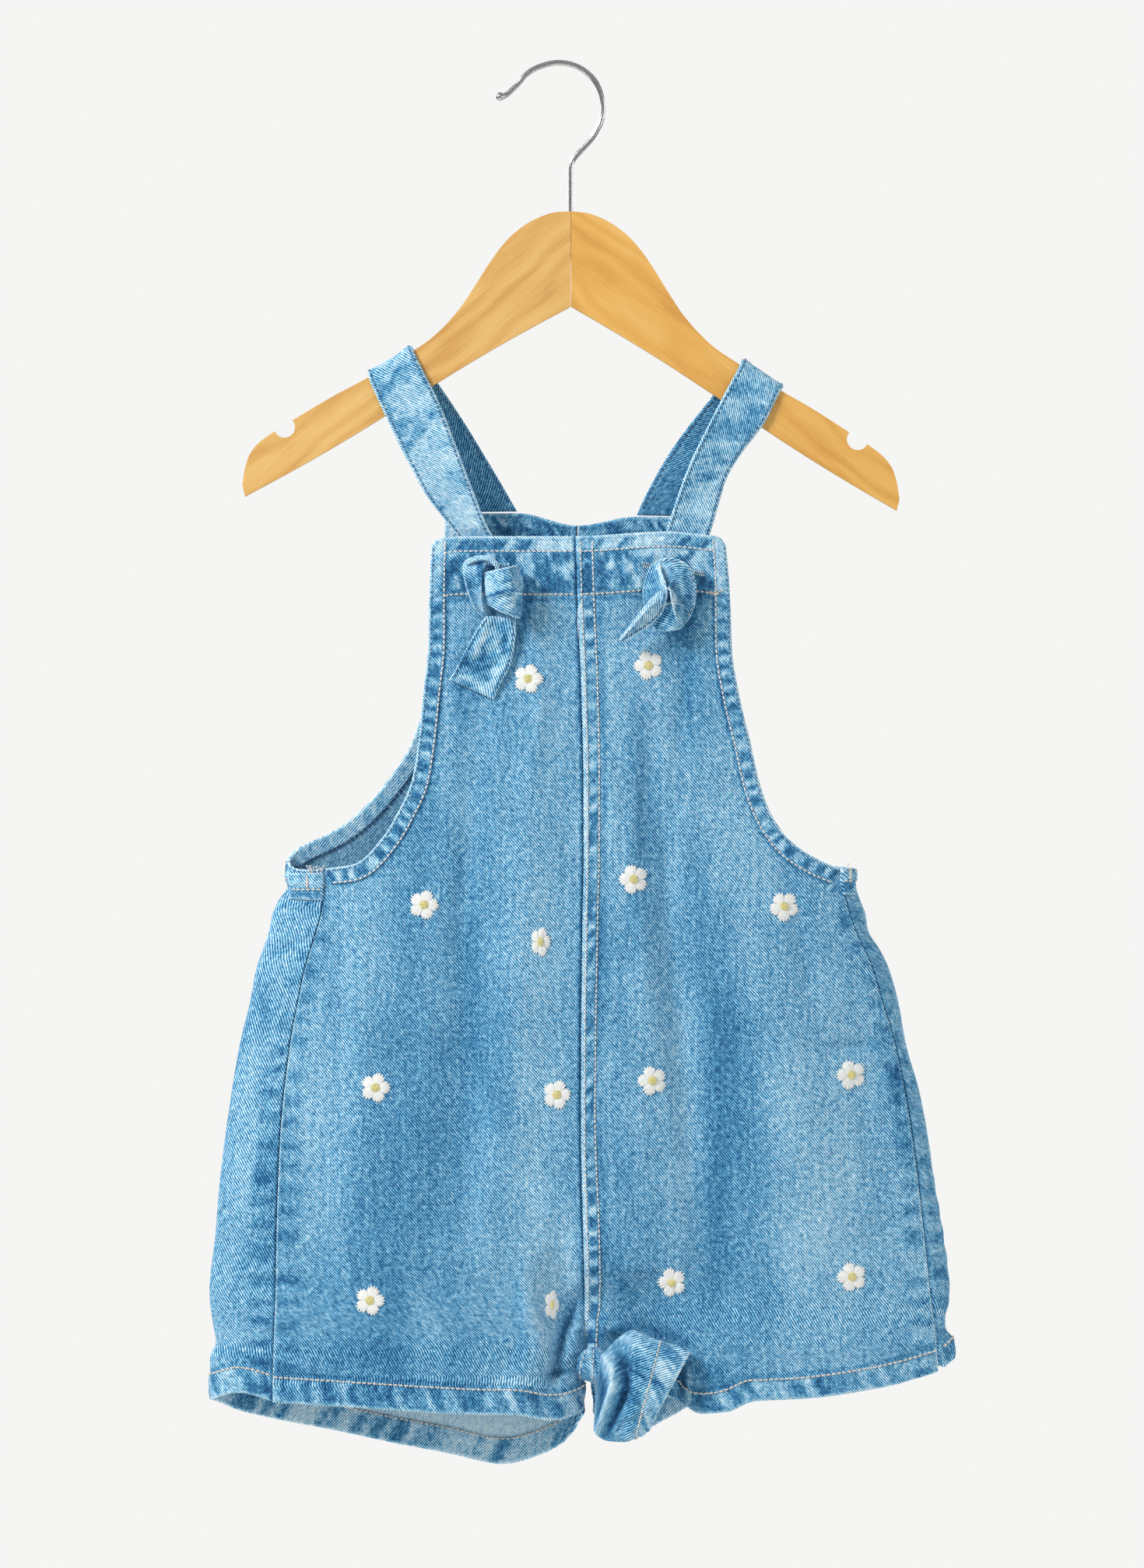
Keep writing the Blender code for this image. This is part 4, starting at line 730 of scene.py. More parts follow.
def panel_shades(side, back, ridge, m, seed):
    """How pale and how dark each place is: faded patches and streaks, and painted shade and light.
    """
    u, drop, edge, bottom, top, centre = (
        m[k] for k in ("across", "drop", "edge", "bottom", "top", "centre")
    )
    wear_and_light, dark_and_shade = 0 * drop, 0 * drop

    def pale(amount):
        nonlocal wear_and_light
        wear_and_light = np.maximum(wear_and_light, amount)

    def dark(amount):
        nonlocal dark_and_shade
        dark_and_shade = np.maximum(dark_and_shade, amount)

    def band(amount, where):
        pale(unit(-amount) * where)
        dark(unit(amount) * where)

    # Armhole hems
    arm = m["armhole"]
    spots = patches(m["edge_run"], 7.0, seed + 100, 0.15)
    band(0.95 * spots, arm * window(edge, 1.9, 6.5, 1.6))
    pale(0.85 * arm * smooth((1.5 - edge) / 1.2))
    # Painted shade along the step at the hem band's inner edge
    dark(0.6 * arm * window(edge, 7.1, 9.2, 1.0))
    # Leg hems: slanting streaks, whitened at the bottom
    slant = 0.75 * blots(u + 0.45 * bottom, 3.6, seed + 110, 0.1)
    slant = slant + 0.75 * noise2((u + 0.3 * bottom) / 4.2 + 7, bottom / 5.5 + 3, seed + 115)
    hem_width = LEG_HEM_WIDTH[side]
    band(0.75 * slant, window(bottom, 1.4, hem_width - 1.3, 2.0))
    pale(0.9 * smooth((1.7 - bottom) / 1.4))
    # Painted shade along the step above the leg hem
    dark(0.5 * window(bottom, hem_width - 0.1, hem_width + 1.7, 1.4))
    # Painted shade in the grooves along the stitch rows
    rows = (hem_width - LEG_ROW, bottom), (TOP_ROW, top), (FACING_ROW, top), (CENTRE_ROW, centre)
    for level, where in rows:
        if where is not centre or ridge:
            dark(0.42 * window(where, level - 0.5, level + 0.5, 1.2))
    # Top band
    streak = blots(u + 0.8 * top, 2.8, seed + 120, -0.15)
    mottle = noise2((u + 0.4 * top) / 3.6 + 40, top / 7.5, seed + 130)
    mottle = mottle + 0.7 * noise2((u - 0.3 * top) / 1.9 + 9, top / 4.5, seed + 131)
    paler = 0.75 * smooth((u - 14) / 14) if not back else 0.2
    mottle = 1.35 * mottle + 0.35 - paler
    on_facing = smooth((BIB_FACING_DEPTH - 1 - top) / 1.0) * smooth((top - 7.6) / 1.0)
    band(0.9 * streak, window(top, 1.8, 6.6, 1.8))
    dark(on_facing * unit(0.30 + 0.6 * mottle))
    pale(on_facing * unit(-mottle) * 0.7)
    pale(0.95 * smooth((2.0 - top) / 1.6))
    corner = smooth((9 - edge) / 4) * smooth((BIB_FACING_DEPTH - top) / 3)
    dark_and_shade = dark_and_shade * (1 - 0.8 * corner)
    pale(0.75 * corner * (0.75 + 0.35 * noise2(u / 4, top / 4, seed + 140)))
    # Painted shade below the facing's lower edge
    dark(0.45 * window(top, 28.4, 31, 2.0) * (1 - corner))
    # Centre seam
    if ridge:
        spots = patches(drop, 9.0, seed + 150, 0.45)
        band(0.85 * spots, window(centre, 2.9, 7.2, 1.0))
        worn = 0.75 + 0.45 * noise1(drop / 2.3, seed + 155)
        pale(worn * window(centre, 0.5, 2.2, 0.9))
        # Painted shade at the felled band's edge and in the cloth beside it
        dark(0.5 * window(centre, 7.2, 8.2, 0.8))
        dark(0.35 * window(centre, 8.2, 12, 3) * (1 + 0.6 * noise1(drop / 9, 8)))
    else:
        wear_and_light = wear_and_light * smooth((centre - 0.2) / 0.6)
        # Painted shade in the seam's groove
        dark(0.75 * smooth((2.2 - centre) / 2.0))
    # Side seams
    low = 1 - arm
    blot = patches(drop, 12.0, seed + 160, -0.2)
    dark(0.65 * low * unit(blot) * window(edge, 1.5, 12, 5))
    if back:
        # Painted shade in the side seam's groove
        dark(0.6 * low * smooth((1.6 - edge) / 1.2))
    else:
        pale(0.7 * low * smooth((1.3 - edge) / 1.0))
    # Long vertical tone changes of the cloth, painted shade and painted light on the front's folds
    # and creases, and darker towards the bottom
    wash_and_shading = noise2(u / 26 + 17, drop / 95 + 3, seed + 170) * 0.24
    wash_and_shading += noise2(u / 9 + 33, drop / 60 + 5, seed + 180) * 0.14
    x = cloth_plan(side, m["around"], drop)[0]
    wash_and_shading -= line_height(FRONT_LIGHT_SHADE_AND_WASH_MARKS, x, drop) * (m["around"] < 1)
    wash_and_shading -= 0.20 * smooth((drop - 330) / 120) * (0.4 + 0.6 * smooth((60 - u) / 120))
    dark_and_shade = unit(dark_and_shade + unit(-wash_and_shading))
    wear_and_light = unit(wear_and_light + unit(wash_and_shading) * 0.7)
    return wear_and_light, dark_and_shade


# Materials


class Look:
    """Builds one material's nodes."""

    def __init__(self, name):
        self.material = bpy.data.materials.new(name)
        self.material.use_nodes = True
        self.tree = self.material.node_tree
        self.shader = self.tree.nodes["Principled BSDF"]

    def put(self, socket, value):
        if isinstance(value, bpy.types.NodeSocket):
            self.tree.links.new(value, socket)
        else:
            socket.default_value = value

    def math(self, operation, a, b=None, third=None):
        node = self.tree.nodes.new("ShaderNodeMath")
        node.operation = operation
        self.put(node.inputs[0], a)
        if b is not None:
            self.put(node.inputs[1], b)
        if third is not None:
            self.put(node.inputs[2], third)
        return node.outputs[0]

    def add(self, *terms):
        total = terms[0]
        for term in terms[1:]:
            total = self.math("ADD", total, term)
        return total

    def times(self, a, b):
        return self.math("MULTIPLY", a, b)

    def trait(self, name):
        node = self.tree.nodes.new("ShaderNodeAttribute")
        node.attribute_name = name
        return node.outputs["Fac"]

    def apart(self, socket, scale=1000.0):
        """The parts of a place, in millimetres unless scale says else."""
        node = self.tree.nodes.new("ShaderNodeSeparateXYZ")
        self.tree.links.new(socket, node.inputs[0])
        return [self.times(output, scale) for output in node.outputs]

    def flat(self):
        """The place on the flat cloth or board."""
        node = self.tree.nodes.new("ShaderNodeUVMap")
        node.uv_map = "flat"
        return self.apart(node.outputs[0])[:2]

    def place(self, *scale):
        """The place on the object."""
        return self.apart(self.tree.nodes.new("ShaderNodeTexCoord").outputs["Object"], *scale)

    def noise(self, across, down, detail=2.0, depth=0.0, roughness=0.5):
        """Noise from 0 to 1 at a place that is given in its own cells."""
        join = self.tree.nodes.new("ShaderNodeCombineXYZ")
        self.put(join.inputs[0], across)
        self.put(join.inputs[1], down)
        self.put(join.inputs[2], depth)
        node = self.tree.nodes.new("ShaderNodeTexNoise")
        node.inputs["Scale"].default_value = 1.0
        node.inputs["Detail"].default_value = detail
        node.inputs["Roughness"].default_value = roughness
        self.tree.links.new(join.outputs[0], node.inputs["Vector"])
        return node.outputs["Fac"]

    def grain(self, u, u_scale, v, v_scale, *more):
        return self.noise(self.times(u, u_scale), self.times(v, v_scale), *more)

    def centred(self, value, gain):
        return self.times(self.math("SUBTRACT", value, 0.5), gain)

    def ramp(self, value, stops):
        node = self.tree.nodes.new("ShaderNodeValToRGB")
        marks = node.color_ramp.elements
        while len(marks) < len(stops):
            marks.new(0.5)
        for mark, (position, colour) in zip(marks, stops):
            mark.position = position
            mark.color = (*colour, 1)
        self.put(node.inputs[0], value)
        return node.outputs[0]

    def mix(self, share, a, b):
        node = self.tree.nodes.new("ShaderNodeMix")
        node.data_type = "RGBA"
        self.put(node.inputs["Factor"], share)
        self.put(node.inputs[6], a)
        self.put(node.inputs[7], b)
        return node.outputs[2]

    def bump(self, height, distance, strength):
        node = self.tree.nodes.new("ShaderNodeBump")
        node.inputs["Distance"].default_value = distance
        node.inputs["Strength"].default_value = strength
        self.tree.links.new(height, node.inputs["Height"])
        self.tree.links.new(node.outputs[0], self.shader.inputs["Normal"])

    def colour(self, value):
        self.put(self.shader.inputs["Base Color"], value)

    def surface(self, roughness, **extra):
        self.shader.inputs["Roughness"].default_value = roughness
        for name, value in extra.items():
            self.shader.inputs[name.replace("_", " ")].default_value = value
        return self.material


# The twill's direction on the cloth; its ribs are a millimetre apart
TWILL_LEAN = 0.76
TWILL_DROP = 0.65


# How pale each place is, and its colour there
DENIM_OUTSIDE = [
    (0.08, (0.005, 0.038, 0.120)), (0.25, (0.014, 0.110, 0.272)), (0.375, (0.043, 0.228, 0.432)),
    (0.5, (0.115, 0.380, 0.600)), (0.625, (0.285, 0.598, 0.788)), (0.75, (0.590, 0.795, 0.890)),
    (0.92, (0.860, 0.925, 0.945)),
]
DENIM_INSIDE = [
    (0.12, (0.035, 0.140, 0.290)), (0.32, (0.120, 0.350, 0.560)), (0.5, (0.320, 0.610, 0.800)),
    (0.72, (0.660, 0.840, 0.920)), (0.92, (0.840, 0.920, 0.940)),
]


def denim_look():
    look = Look("washed_denim")
    u, v = look.flat()
    wobble = look.centred(look.grain(u, 0.23, v, 0.23), 0.7)
    slope = look.math("SUBTRACT", look.times(u, TWILL_LEAN), look.times(v, TWILL_DROP))
    twill = look.math("SINE", look.times(look.add(slope, wobble), 2 * math.pi))
    yarn = look.grain(u, 1.9, v, 0.13, 2.0, 3.0)
    slub = look.grain(u, 0.09, v, 1.5, 2.0, 7.0)
    rib = look.add(look.times(u, TWILL_DROP), look.times(v, TWILL_LEAN))
    cross = look.math("SUBTRACT", look.times(u, TWILL_LEAN), look.times(v, TWILL_DROP))
    grain = look.grain(cross, 1.0, rib, 0.55, 3.0, 11.0, 0.65)
    speck = look.grain(cross, 0.50, rib, 0.34, 2.0, 31.0, 0.6)
    cloud = look.grain(u, 0.055, v, 0.032, 3.0, 17.0)
    streak = look.grain(u, 0.55, v, 0.022, 2.0, 23.0)
    # Paler places are faded cloth and painted light; darker places are dark patches and painted
    # shade
    wear_and_light, dark_and_shade, inside = look.trait("wear_and_light"), look.trait("dark_and_shade"), look.trait("inside")
    soft = look.math("SUBTRACT", 1.0, look.times(dark_and_shade, 0.25))
    value = look.add(0.455, look.times(look.times(twill, 0.46), soft))
    parts = (yarn, 0.58), (slub, 0.34), (grain, 1.5), (speck, 1.0), (cloud, 0.34), (streak, 0.4)
    for part, gain in parts:
        value = look.add(value, look.centred(part, gain))
    value = look.add(value, look.times(wear_and_light, 0.46), look.times(dark_and_shade, -0.50))
    # From -0.5 to 1.5, so that dark and pale places keep their weave
    value = look.math("MULTIPLY_ADD", value, 0.5, third=0.25)
    look.colour(look.mix(inside, look.ramp(value, DENIM_OUTSIDE), look.ramp(value, DENIM_INSIDE)))
    height = look.add(look.times(twill, 0.5), look.times(yarn, 0.8), look.times(grain, 0.5))
    look.bump(height, 0.00022, 0.55)
    return look.surface(0.9, Specular_IOR_Level=0.22, Sheen_Weight=0.08, Sheen_Roughness=0.5)


def thread_look(name, dark, light, roughness):
    """Sewing or embroidery thread: fine plies across the stitch."""
    look = Look(name)
    x, y, z = look.place()
    ply = look.math("SINE", look.times(look.add(x, look.times(y, 0.6), look.times(z, 1.3)), 9.0))
    patch = look.grain(x, 0.6, z, 0.6, 2.0)
    value = look.add(0.5, look.times(ply, 0.12), look.centred(patch, 0.9))
    look.colour(look.ramp(value, [(0.15, dark), (0.85, light)]))
    look.bump(ply, 0.00006, 0.4)
    return look.surface(roughness, Specular_IOR_Level=0.35, Sheen_Weight=0.1)


def wood_look(name, dark, middle, light, seed):
    look = Look(name)
    along, across = look.flat()
    bend = look.centred(look.grain(along, 0.012, across, 0.03, 2.0, seed), 16.0)
    ring = look.math("SINE", look.times(look.add(look.times(across, 0.30), bend), 1.7))
    fibre = look.grain(along, 0.045, across, 1.9, 3.0, seed + 3)
    pore = look.grain(along, 0.22, across, 4.5, 1.0, seed + 5)
    cloud = look.grain(along, 0.018, across, 0.06, 2.0, seed + 9)
    pores = look.math("GREATER_THAN", pore, 0.70)
    value = look.add(0.5, look.times(ring, 0.10), look.centred(fibre, 0.55),
                     look.centred(cloud, 0.60), look.times(pores, -0.10))
    look.colour(look.ramp(value, [(0.1, dark), (0.5, middle), (0.9, light)]))
    look.bump(look.add(fibre, look.times(pores, -0.5)), 0.00008, 0.35)
    return look.surface(0.42, Specular_IOR_Level=0.4, Coat_Weight=0.35, Coat_Roughness=0.22)


def chrome_look():
    look = Look("bright_wire")
    x, _, z = look.place()
    haze = look.grain(x, 0.8, z, 0.8, 3.0)
    look.colour(look.ramp(haze, [(0.3, (0.42, 0.42, 0.43)), (0.7, (0.66, 0.66, 0.67))]))
    rough = look.add(0.10, look.times(haze, 0.14))
    look.tree.links.new(rough, look.shader.inputs["Roughness"])
    look.shader.inputs["Metallic"].default_value = 1.0
    return look.material


def plaster_look():
    look = Look("pale_floor")
    x, y, _ = look.place(1.0)
    mottle = look.grain(x, 5.0, y, 5.0, 4.0)
    look.colour(look.ramp(mottle, [(0.2, (0.80, 0.80, 0.79)), (0.8, (0.86, 0.86, 0.85))]))
    return look.surface(0.9, Specular_IOR_Level=0.2)


denim = denim_look()
light_thread = thread_look("light_sewing_thread", (0.50, 0.50, 0.50), (0.88, 0.86, 0.82), 0.7)
tan_thread = thread_look("tan_sewing_thread", (0.48, 0.42, 0.36), (0.86, 0.78, 0.68), 0.7)
dark_thread = thread_look("blue_sewing_thread", (0.030, 0.075, 0.16), (0.10, 0.19, 0.32), 0.8)
white_thread = thread_look("white_satin_thread", (0.78, 0.79, 0.77), (0.92, 0.93, 0.90), 0.42)
yellow_thread = thread_look("yellow_satin_thread", (0.58, 0.50, 0.18), (0.83, 0.77, 0.38), 0.45)
wood = {
    "left": wood_look("lacquered_wood_left", (0.50, 0.22, 0.055), (0.71, 0.41, 0.120),
                      (0.82, 0.55, 0.22), 2.0),
    "right": wood_look("lacquered_wood_right", (0.52, 0.22, 0.040), (0.73, 0.39, 0.085),
                       (0.84, 0.51, 0.16), 31.0),
}
chrome = chrome_look()

# Cloth panels

panels = {}
for side in SIGN:
    for back in (False, True):
        make_panel(side, back)


def mesh_tree(obj):
    shape = bmesh.new()
    shape.from_mesh(obj.data)
    tree = BVHTree.FromBMesh(shape)
    shape.free()
    return tree


trees = {panel_name: mesh_tree(panel) for panel_name, panel in panels.items()}


# Stitches


def on_surface(tree, point, normal, lift):
    """A point in millimetres, dropped along its normal to the shown cloth and raised by lift."""
    start = Vector((point + 9 * normal) * MM)
    hit = tree.ray_cast(start, Vector(-normal))[0]
    if hit is None:
        return point + lift * normal
    return np.array(hit) / MM + lift * normal


def ring_faces(rings, sides, base=0):
    faces = []
    for j in range(rings - 1):
        for k in range(sides):
            a, b = base + j * sides + k, base + j * sides + (k + 1) % sides
            faces.append((a, b, b + sides, a + sides))
    return faces


def tube_points(path, radii, sides):
    """Rings of points round a path, and the faces of a tube with closed ends."""
    path = np.asarray(path, float)
    tangents = np.gradient(path, axis=0)
    tangents /= np.linalg.norm(tangents, axis=1)[:, None] + 1e-9
    reference = np.array([0.0, 1.0, 0.0])
    if abs(tangents[len(path) // 2] @ reference) > 0.9:
        reference = np.array([1.0, 0.0, 0.0])
    first = np.cross(tangents, reference)
    first /= np.linalg.norm(first, axis=1)[:, None]
    second = np.cross(tangents, first)
    turns = 2 * np.pi * np.arange(sides) / sides
    cos, sin = np.cos(turns)[None, :, None], np.sin(turns)[None, :, None]
    spokes = first[:, None] * cos + second[:, None] * sin
    points = path[:, None] + spokes * np.asarray(radii)[:, None, None]
    faces = ring_faces(len(path), sides)
    faces.append(tuple(range(sides))[::-1])
    faces.append(tuple((len(path) - 1) * sides + k for k in range(sides)))
    return points.reshape(-1, 3), faces


class Threads:
    """Collects short tubes into one piece."""

    def __init__(self):
        self.points, self.faces, self.count = [], [], 0

    def tube(self, path, radii, sides=5):
        points, faces = tube_points(path, radii, sides)
        self.points.append(points)
        self.faces += [tuple(i + self.count for i in face) for face in faces]
        self.count += len(points)

    def finish(self, name, slot, finish):
        return add_shell(name, np.vstack(self.points), self.faces, None, None, finish)


STITCH_PITCH = 2.45
STITCH_LENGTH = 1.75
STITCH_RADIUS = 0.44
# One stitch: places along it, how high it stands there and how thick it is, in its radii
STITCH_PLACES = np.array([0, 0.12, 0.38, 0.62, 0.88, 1])
STITCH_RISE = np.array([-0.5, 0.15, 0.5, 0.5, 0.15, -0.5])
STITCH_SWELL = np.array([0.55, 0.9, 1, 1, 0.9, 0.55])


def sew(threads, line, normals, tree, radius=STITCH_RADIUS, pitch=STITCH_PITCH,
        length=STITCH_LENGTH):
    """Stitches along a line of points on the cloth."""
    runs = distances(line)
    count = int(runs[-1] / pitch)
    for k in range(count):
        start = (k + 0.15) * pitch
        path = []
        for place, lift in zip(start + length * STITCH_PLACES, radius * STITCH_RISE):
            point, normal = (
                np.array([np.interp(place, runs, values[:, i]) for i in range(3)])
                for values in (line, normals)
            )
            normal /= np.linalg.norm(normal)
            path.append(on_surface(tree, point, normal, lift))
        threads.tube(path, radius * STITCH_SWELL)


def level_line(values, level, axis):
    """Where each row (axis 1) or column (axis 0) of a grid passes a level, as (row, column)."""
    lines = values if axis == 1 else values.T
    found = []
    for i, line in enumerate(lines):
        order = line if line[-1] > line[0] else line[::-1]
        if not order[0] <= level <= order[-1]:
            continue
        j = float(np.interp(level, order, np.arange(len(order))))
        if line[-1] <= line[0]:
            j = len(line) - 1 - j
        found.append((i, j) if axis == 1 else (j, i))
    return found


def grid_value(grid, places):
    """Reads a grid at fractional (row, column) places."""
    places = np.array(places)
    i = np.clip(places[:, 0].astype(int), 0, grid.shape[0] - 2)
    j = np.clip(places[:, 1].astype(int), 0, grid.shape[1] - 2)
    return blend(grid, i, j, (places[:, 0] - i)[:, None], (places[:, 1] - j)[:, None])


def panel_stitches(panel_name):
    side = panel_name.split("_")[1]
    grid, kinds, m = GRIDS[panel_name]
    tree = trees[panel_name]
    light, tan, dark = Threads(), Threads(), Threads()
    first_arm = int(np.argmax(kinds == "armhole"))
    last = grid.shape[1] - 1
    leg_row = LEG_HEM_WIDTH[side] - LEG_ROW

    def row(threads, values, level, axis, keep, face=1, **size):
        found = [place for place in level_line(values, level, axis) if keep(*place)]
        if len(found) < 3:
            return
        places = grid_value(grid, found)
        around, drop = places[:, 0], places[:, 1]
        normals = face * cloth_normal(side, around, drop)
        sew(threads, cloth_point(side, around, drop), normals, tree, **size)

    def on_arm(i, j):
        return i > first_arm

    def on_leg(i, j):
        return 1 < j < last - 1

    def on_top(i, j):
        return m["centre"][int(i), int(j)] > 0.8 and j < last - 8

    def on_seam(i, j):
        return i > 10

    row(light, m["edge"], ARMHOLE_ROW, 1, on_arm)
    row(dark, m["edge"], 1.3, 1, on_arm, radius=0.24, length=1.5)
    row(tan, m["bottom"], leg_row, 0, on_leg, radius=0.48)
    if "back" in panel_name:
        row(tan, m["bottom"], leg_row, 0, on_leg, face=-1)
        row(dark, m["edge"], 7.3, 1, on_arm, face=-1)
    row(light, m["top"], TOP_ROW, 0, on_top)
    row(tan, m["top"], FACING_ROW, 0, on_top)
    if side == RIDGE_SIDE:
        row(light, m["centre"], 2.15, 1, on_seam, radius=0.34)
        row(light, m["centre"], CENTRE_ROW, 1, on_seam)
    light.finish(panel_name + "_light_stitches", "denim", light_thread)
    tan.finish(panel_name + "_tan_stitches", "denim", tan_thread)
    dark.finish(panel_name + "_blue_stitches", "denim", dark_thread)


for panel_name in panels:
    panel_stitches(panel_name)


# The ends of the back armhole hems, folded over the underarms: corners as x and drop from the
# upper left round, the level of the stitch row and the place of the bar of stitches
TABS = {"left": ([(-127.3, 379.8), (-110.6, 379.4), (-110.3, 392.6), (-126.4, 391.8)], 387.4,
    -118.2), "right": ([(132.2, 377.6), (139, 379), (139.2, 389.6), (132.6, 389.8)], 383.4, 137)}


def front_of(tree, x, drop):
    hit = tree.ray_cast(Vector((x, -200, -drop)) * MM, Vector((0, 1, 0)))[0]
    return None if hit is None else np.array(hit) / MM


def make_tab(side):
    corners, row_drop, bar_x = TABS[side]
    tree = trees["back_" + side]
    a, b, c, d = (np.array(corner) for corner in corners)
    down, across = 18, 24
    middle = np.zeros((down, across, 3))
    for j in range(down):
        for i in range(across):
            s, t = i / (across - 1), j / (down - 1)
            x, drop = (a * (1 - s) + b * s) * (1 - t) + (d * (1 - s) + c * s) * t
            hit = front_of(tree, x, drop)
            y = middle[j, i - 1, 1] + 0.7 if hit is None else hit[1] - 0.65
            middle[j, i] = (x, y, -drop)
    normals = grid_normals(middle)
    if np.sum(normals[..., 1]) > 0:
        normals = -normals
    width = np.linalg.norm(middle[:, -1] - middle[:, 0], axis=1)[:, None]
    place = np.linspace(0, 1, across)[None, :]
    from_side = np.minimum(place, 1 - place) * width
    level = -middle[..., 2]
    from_top = level - level[:1]
    from_bottom = level[-1:] - level
    edge = np.minimum(np.minimum(from_side, from_top), from_bottom)
    half = 0.62 * rim_round(edge, 0.8) + 0.15 * np.sin(level * 1.1) * smooth(edge)
    # Painted light above the stitch row, and painted shade on the row and below it
    above = 0.35 * window(level, row_drop - 5, row_drop, 3)
    dark_and_shade = 0.5 * window(level, row_drop, row_drop + 5, 3) * smooth((edge - 0.8) / 1.5)
    dark_and_shade = dark_and_shade + 0.3 * window(level, row_drop - 0.5, row_drop + 0.5, 1.0)
    wear_and_light = np.maximum(0.85 * smooth((1.0 - edge) / 0.8), above)
    traits = {"wear_and_light": wear_and_light, "dark_and_shade": dark_and_shade, "inside": 0 * edge}
    flat = np.stack([middle[..., 0] + 600, level], axis=-1)
    outer = middle + normals * half[..., None]
    inner = middle - normals * 0.35 * rim_round(edge, 0.8)[..., None]
    name = f"underarm_tab_{side}_cloth"
    made = add_wall(name, outer, inner, flat, traits, traits, denim)
    tab_tree = mesh_tree(made)
    threads = Threads()

    def sew_line(line, **size):
        points = np.array([(x, 0, -drop) for x, drop in line], float)
        for point in points:
            hit = front_of(tab_tree, point[0], -point[2])
            point[1] = hit[1] if hit is not None else middle[..., 1].mean()
        sew(threads, points, np.tile([0.0, -1.0, 0.0], (len(points), 1)), tab_tree, **size)

    xs = np.linspace(a[0] + 1.5, b[0] - 0.8, 12)
    sew_line([(x, row_drop) for x in xs])
    bar = [(bar_x + 0.25 * (-1) ** k, row_drop - 6.4 + 0.45 * k) for k in range(14)]
    sew_line(bar, radius=0.45, pitch=1.2, length=1.15)
    threads.finish(f"underarm_tab_{side}_stitches", "denim", tan_thread)
    loose = Threads()
    random = np.random.RandomState(40 + len(side))
    for k in range(9 if side == "left" else 4):
        x = random.uniform(bar_x - 1, b[0] if side == "left" else bar_x + 1)
        start = front_of(tab_tree, min(max(x, a[0] + 1), b[0] - 1), a[1] + 0.8)
        if start is None:
            continue
        lean, rise = random.uniform(-2.6, 2.6), random.uniform(1.6, 5.0)
        path = [
            start + np.array([lean * t * t + 0.5 * math.sin(5 * t + k), 0.2 + 0.9 * t,
                              rise * math.sin(2.2 * t)])
            for t in np.linspace(0, 1, 9)
        ]
        loose.tube(path, np.full(9, 0.17), 5)
    loose.finish(f"underarm_threads_{side}", "denim", light_thread)


for side in SIGN:
    make_tab(side)


def make_bib_trim():
    """The bar of stitches at the right end of the facing, and the right buttonhole's ends."""
    tree = trees["front_right"]

    def thread(threads, ends, radius, bend=0.0, steps=7):
        (x0, drop0), (x1, drop1) = ends
        path = []
        for t in np.linspace(0, 1, steps):
            x = x0 + (x1 - x0) * t + bend * math.sin(math.pi * t)
            rise = 0.9 * radius * math.sin(math.pi * (0.1 + 0.8 * t)) ** 0.5
            path.append(front_of(tree, x, drop0 + (drop1 - drop0) * t) - np.array([0, rise, 0]))
        threads.tube(path, np.full(steps, radius), 6)

    bar = Threads()
    for k in range(6):
        rise = 0.15 + 0.28 * k
        thread(bar, [(73.9 - 0.1 * k, 248.2 - rise), (73.8 - 0.1 * k, 248.2 + rise)], 0.34)
    for k in range(4):
        thread(bar, [(69.4 + 0.9 * k, 248.3), (71.6 + 0.6 * k, 247.2 + 0.6 * k)], 0.3)
    thread(bar, [(74, 248), (77.6, 246.6)], 0.24, 0.5, 9)
    bar.finish("facing_bar_stitches", "denim", tan_thread)
    hole = Threads()
    for x0, x1 in ((39.4, 44.6), (61.0, 68.4)):
        for x in np.arange(x0, x1, 0.95):
            drop = 235.0 + (x - 39.4) * 0.145
            thread(hole, [(x, drop - 1.2), (x + 0.1, drop - 0.3)], 0.22, 0.0, 5)
            thread(hole, [(x + 0.4, drop + 0.3), (x + 0.5, drop + 1.2)], 0.22, 0.0, 5)
    hole.finish("buttonhole_right_stitches", "denim", light_thread)


make_bib_trim()

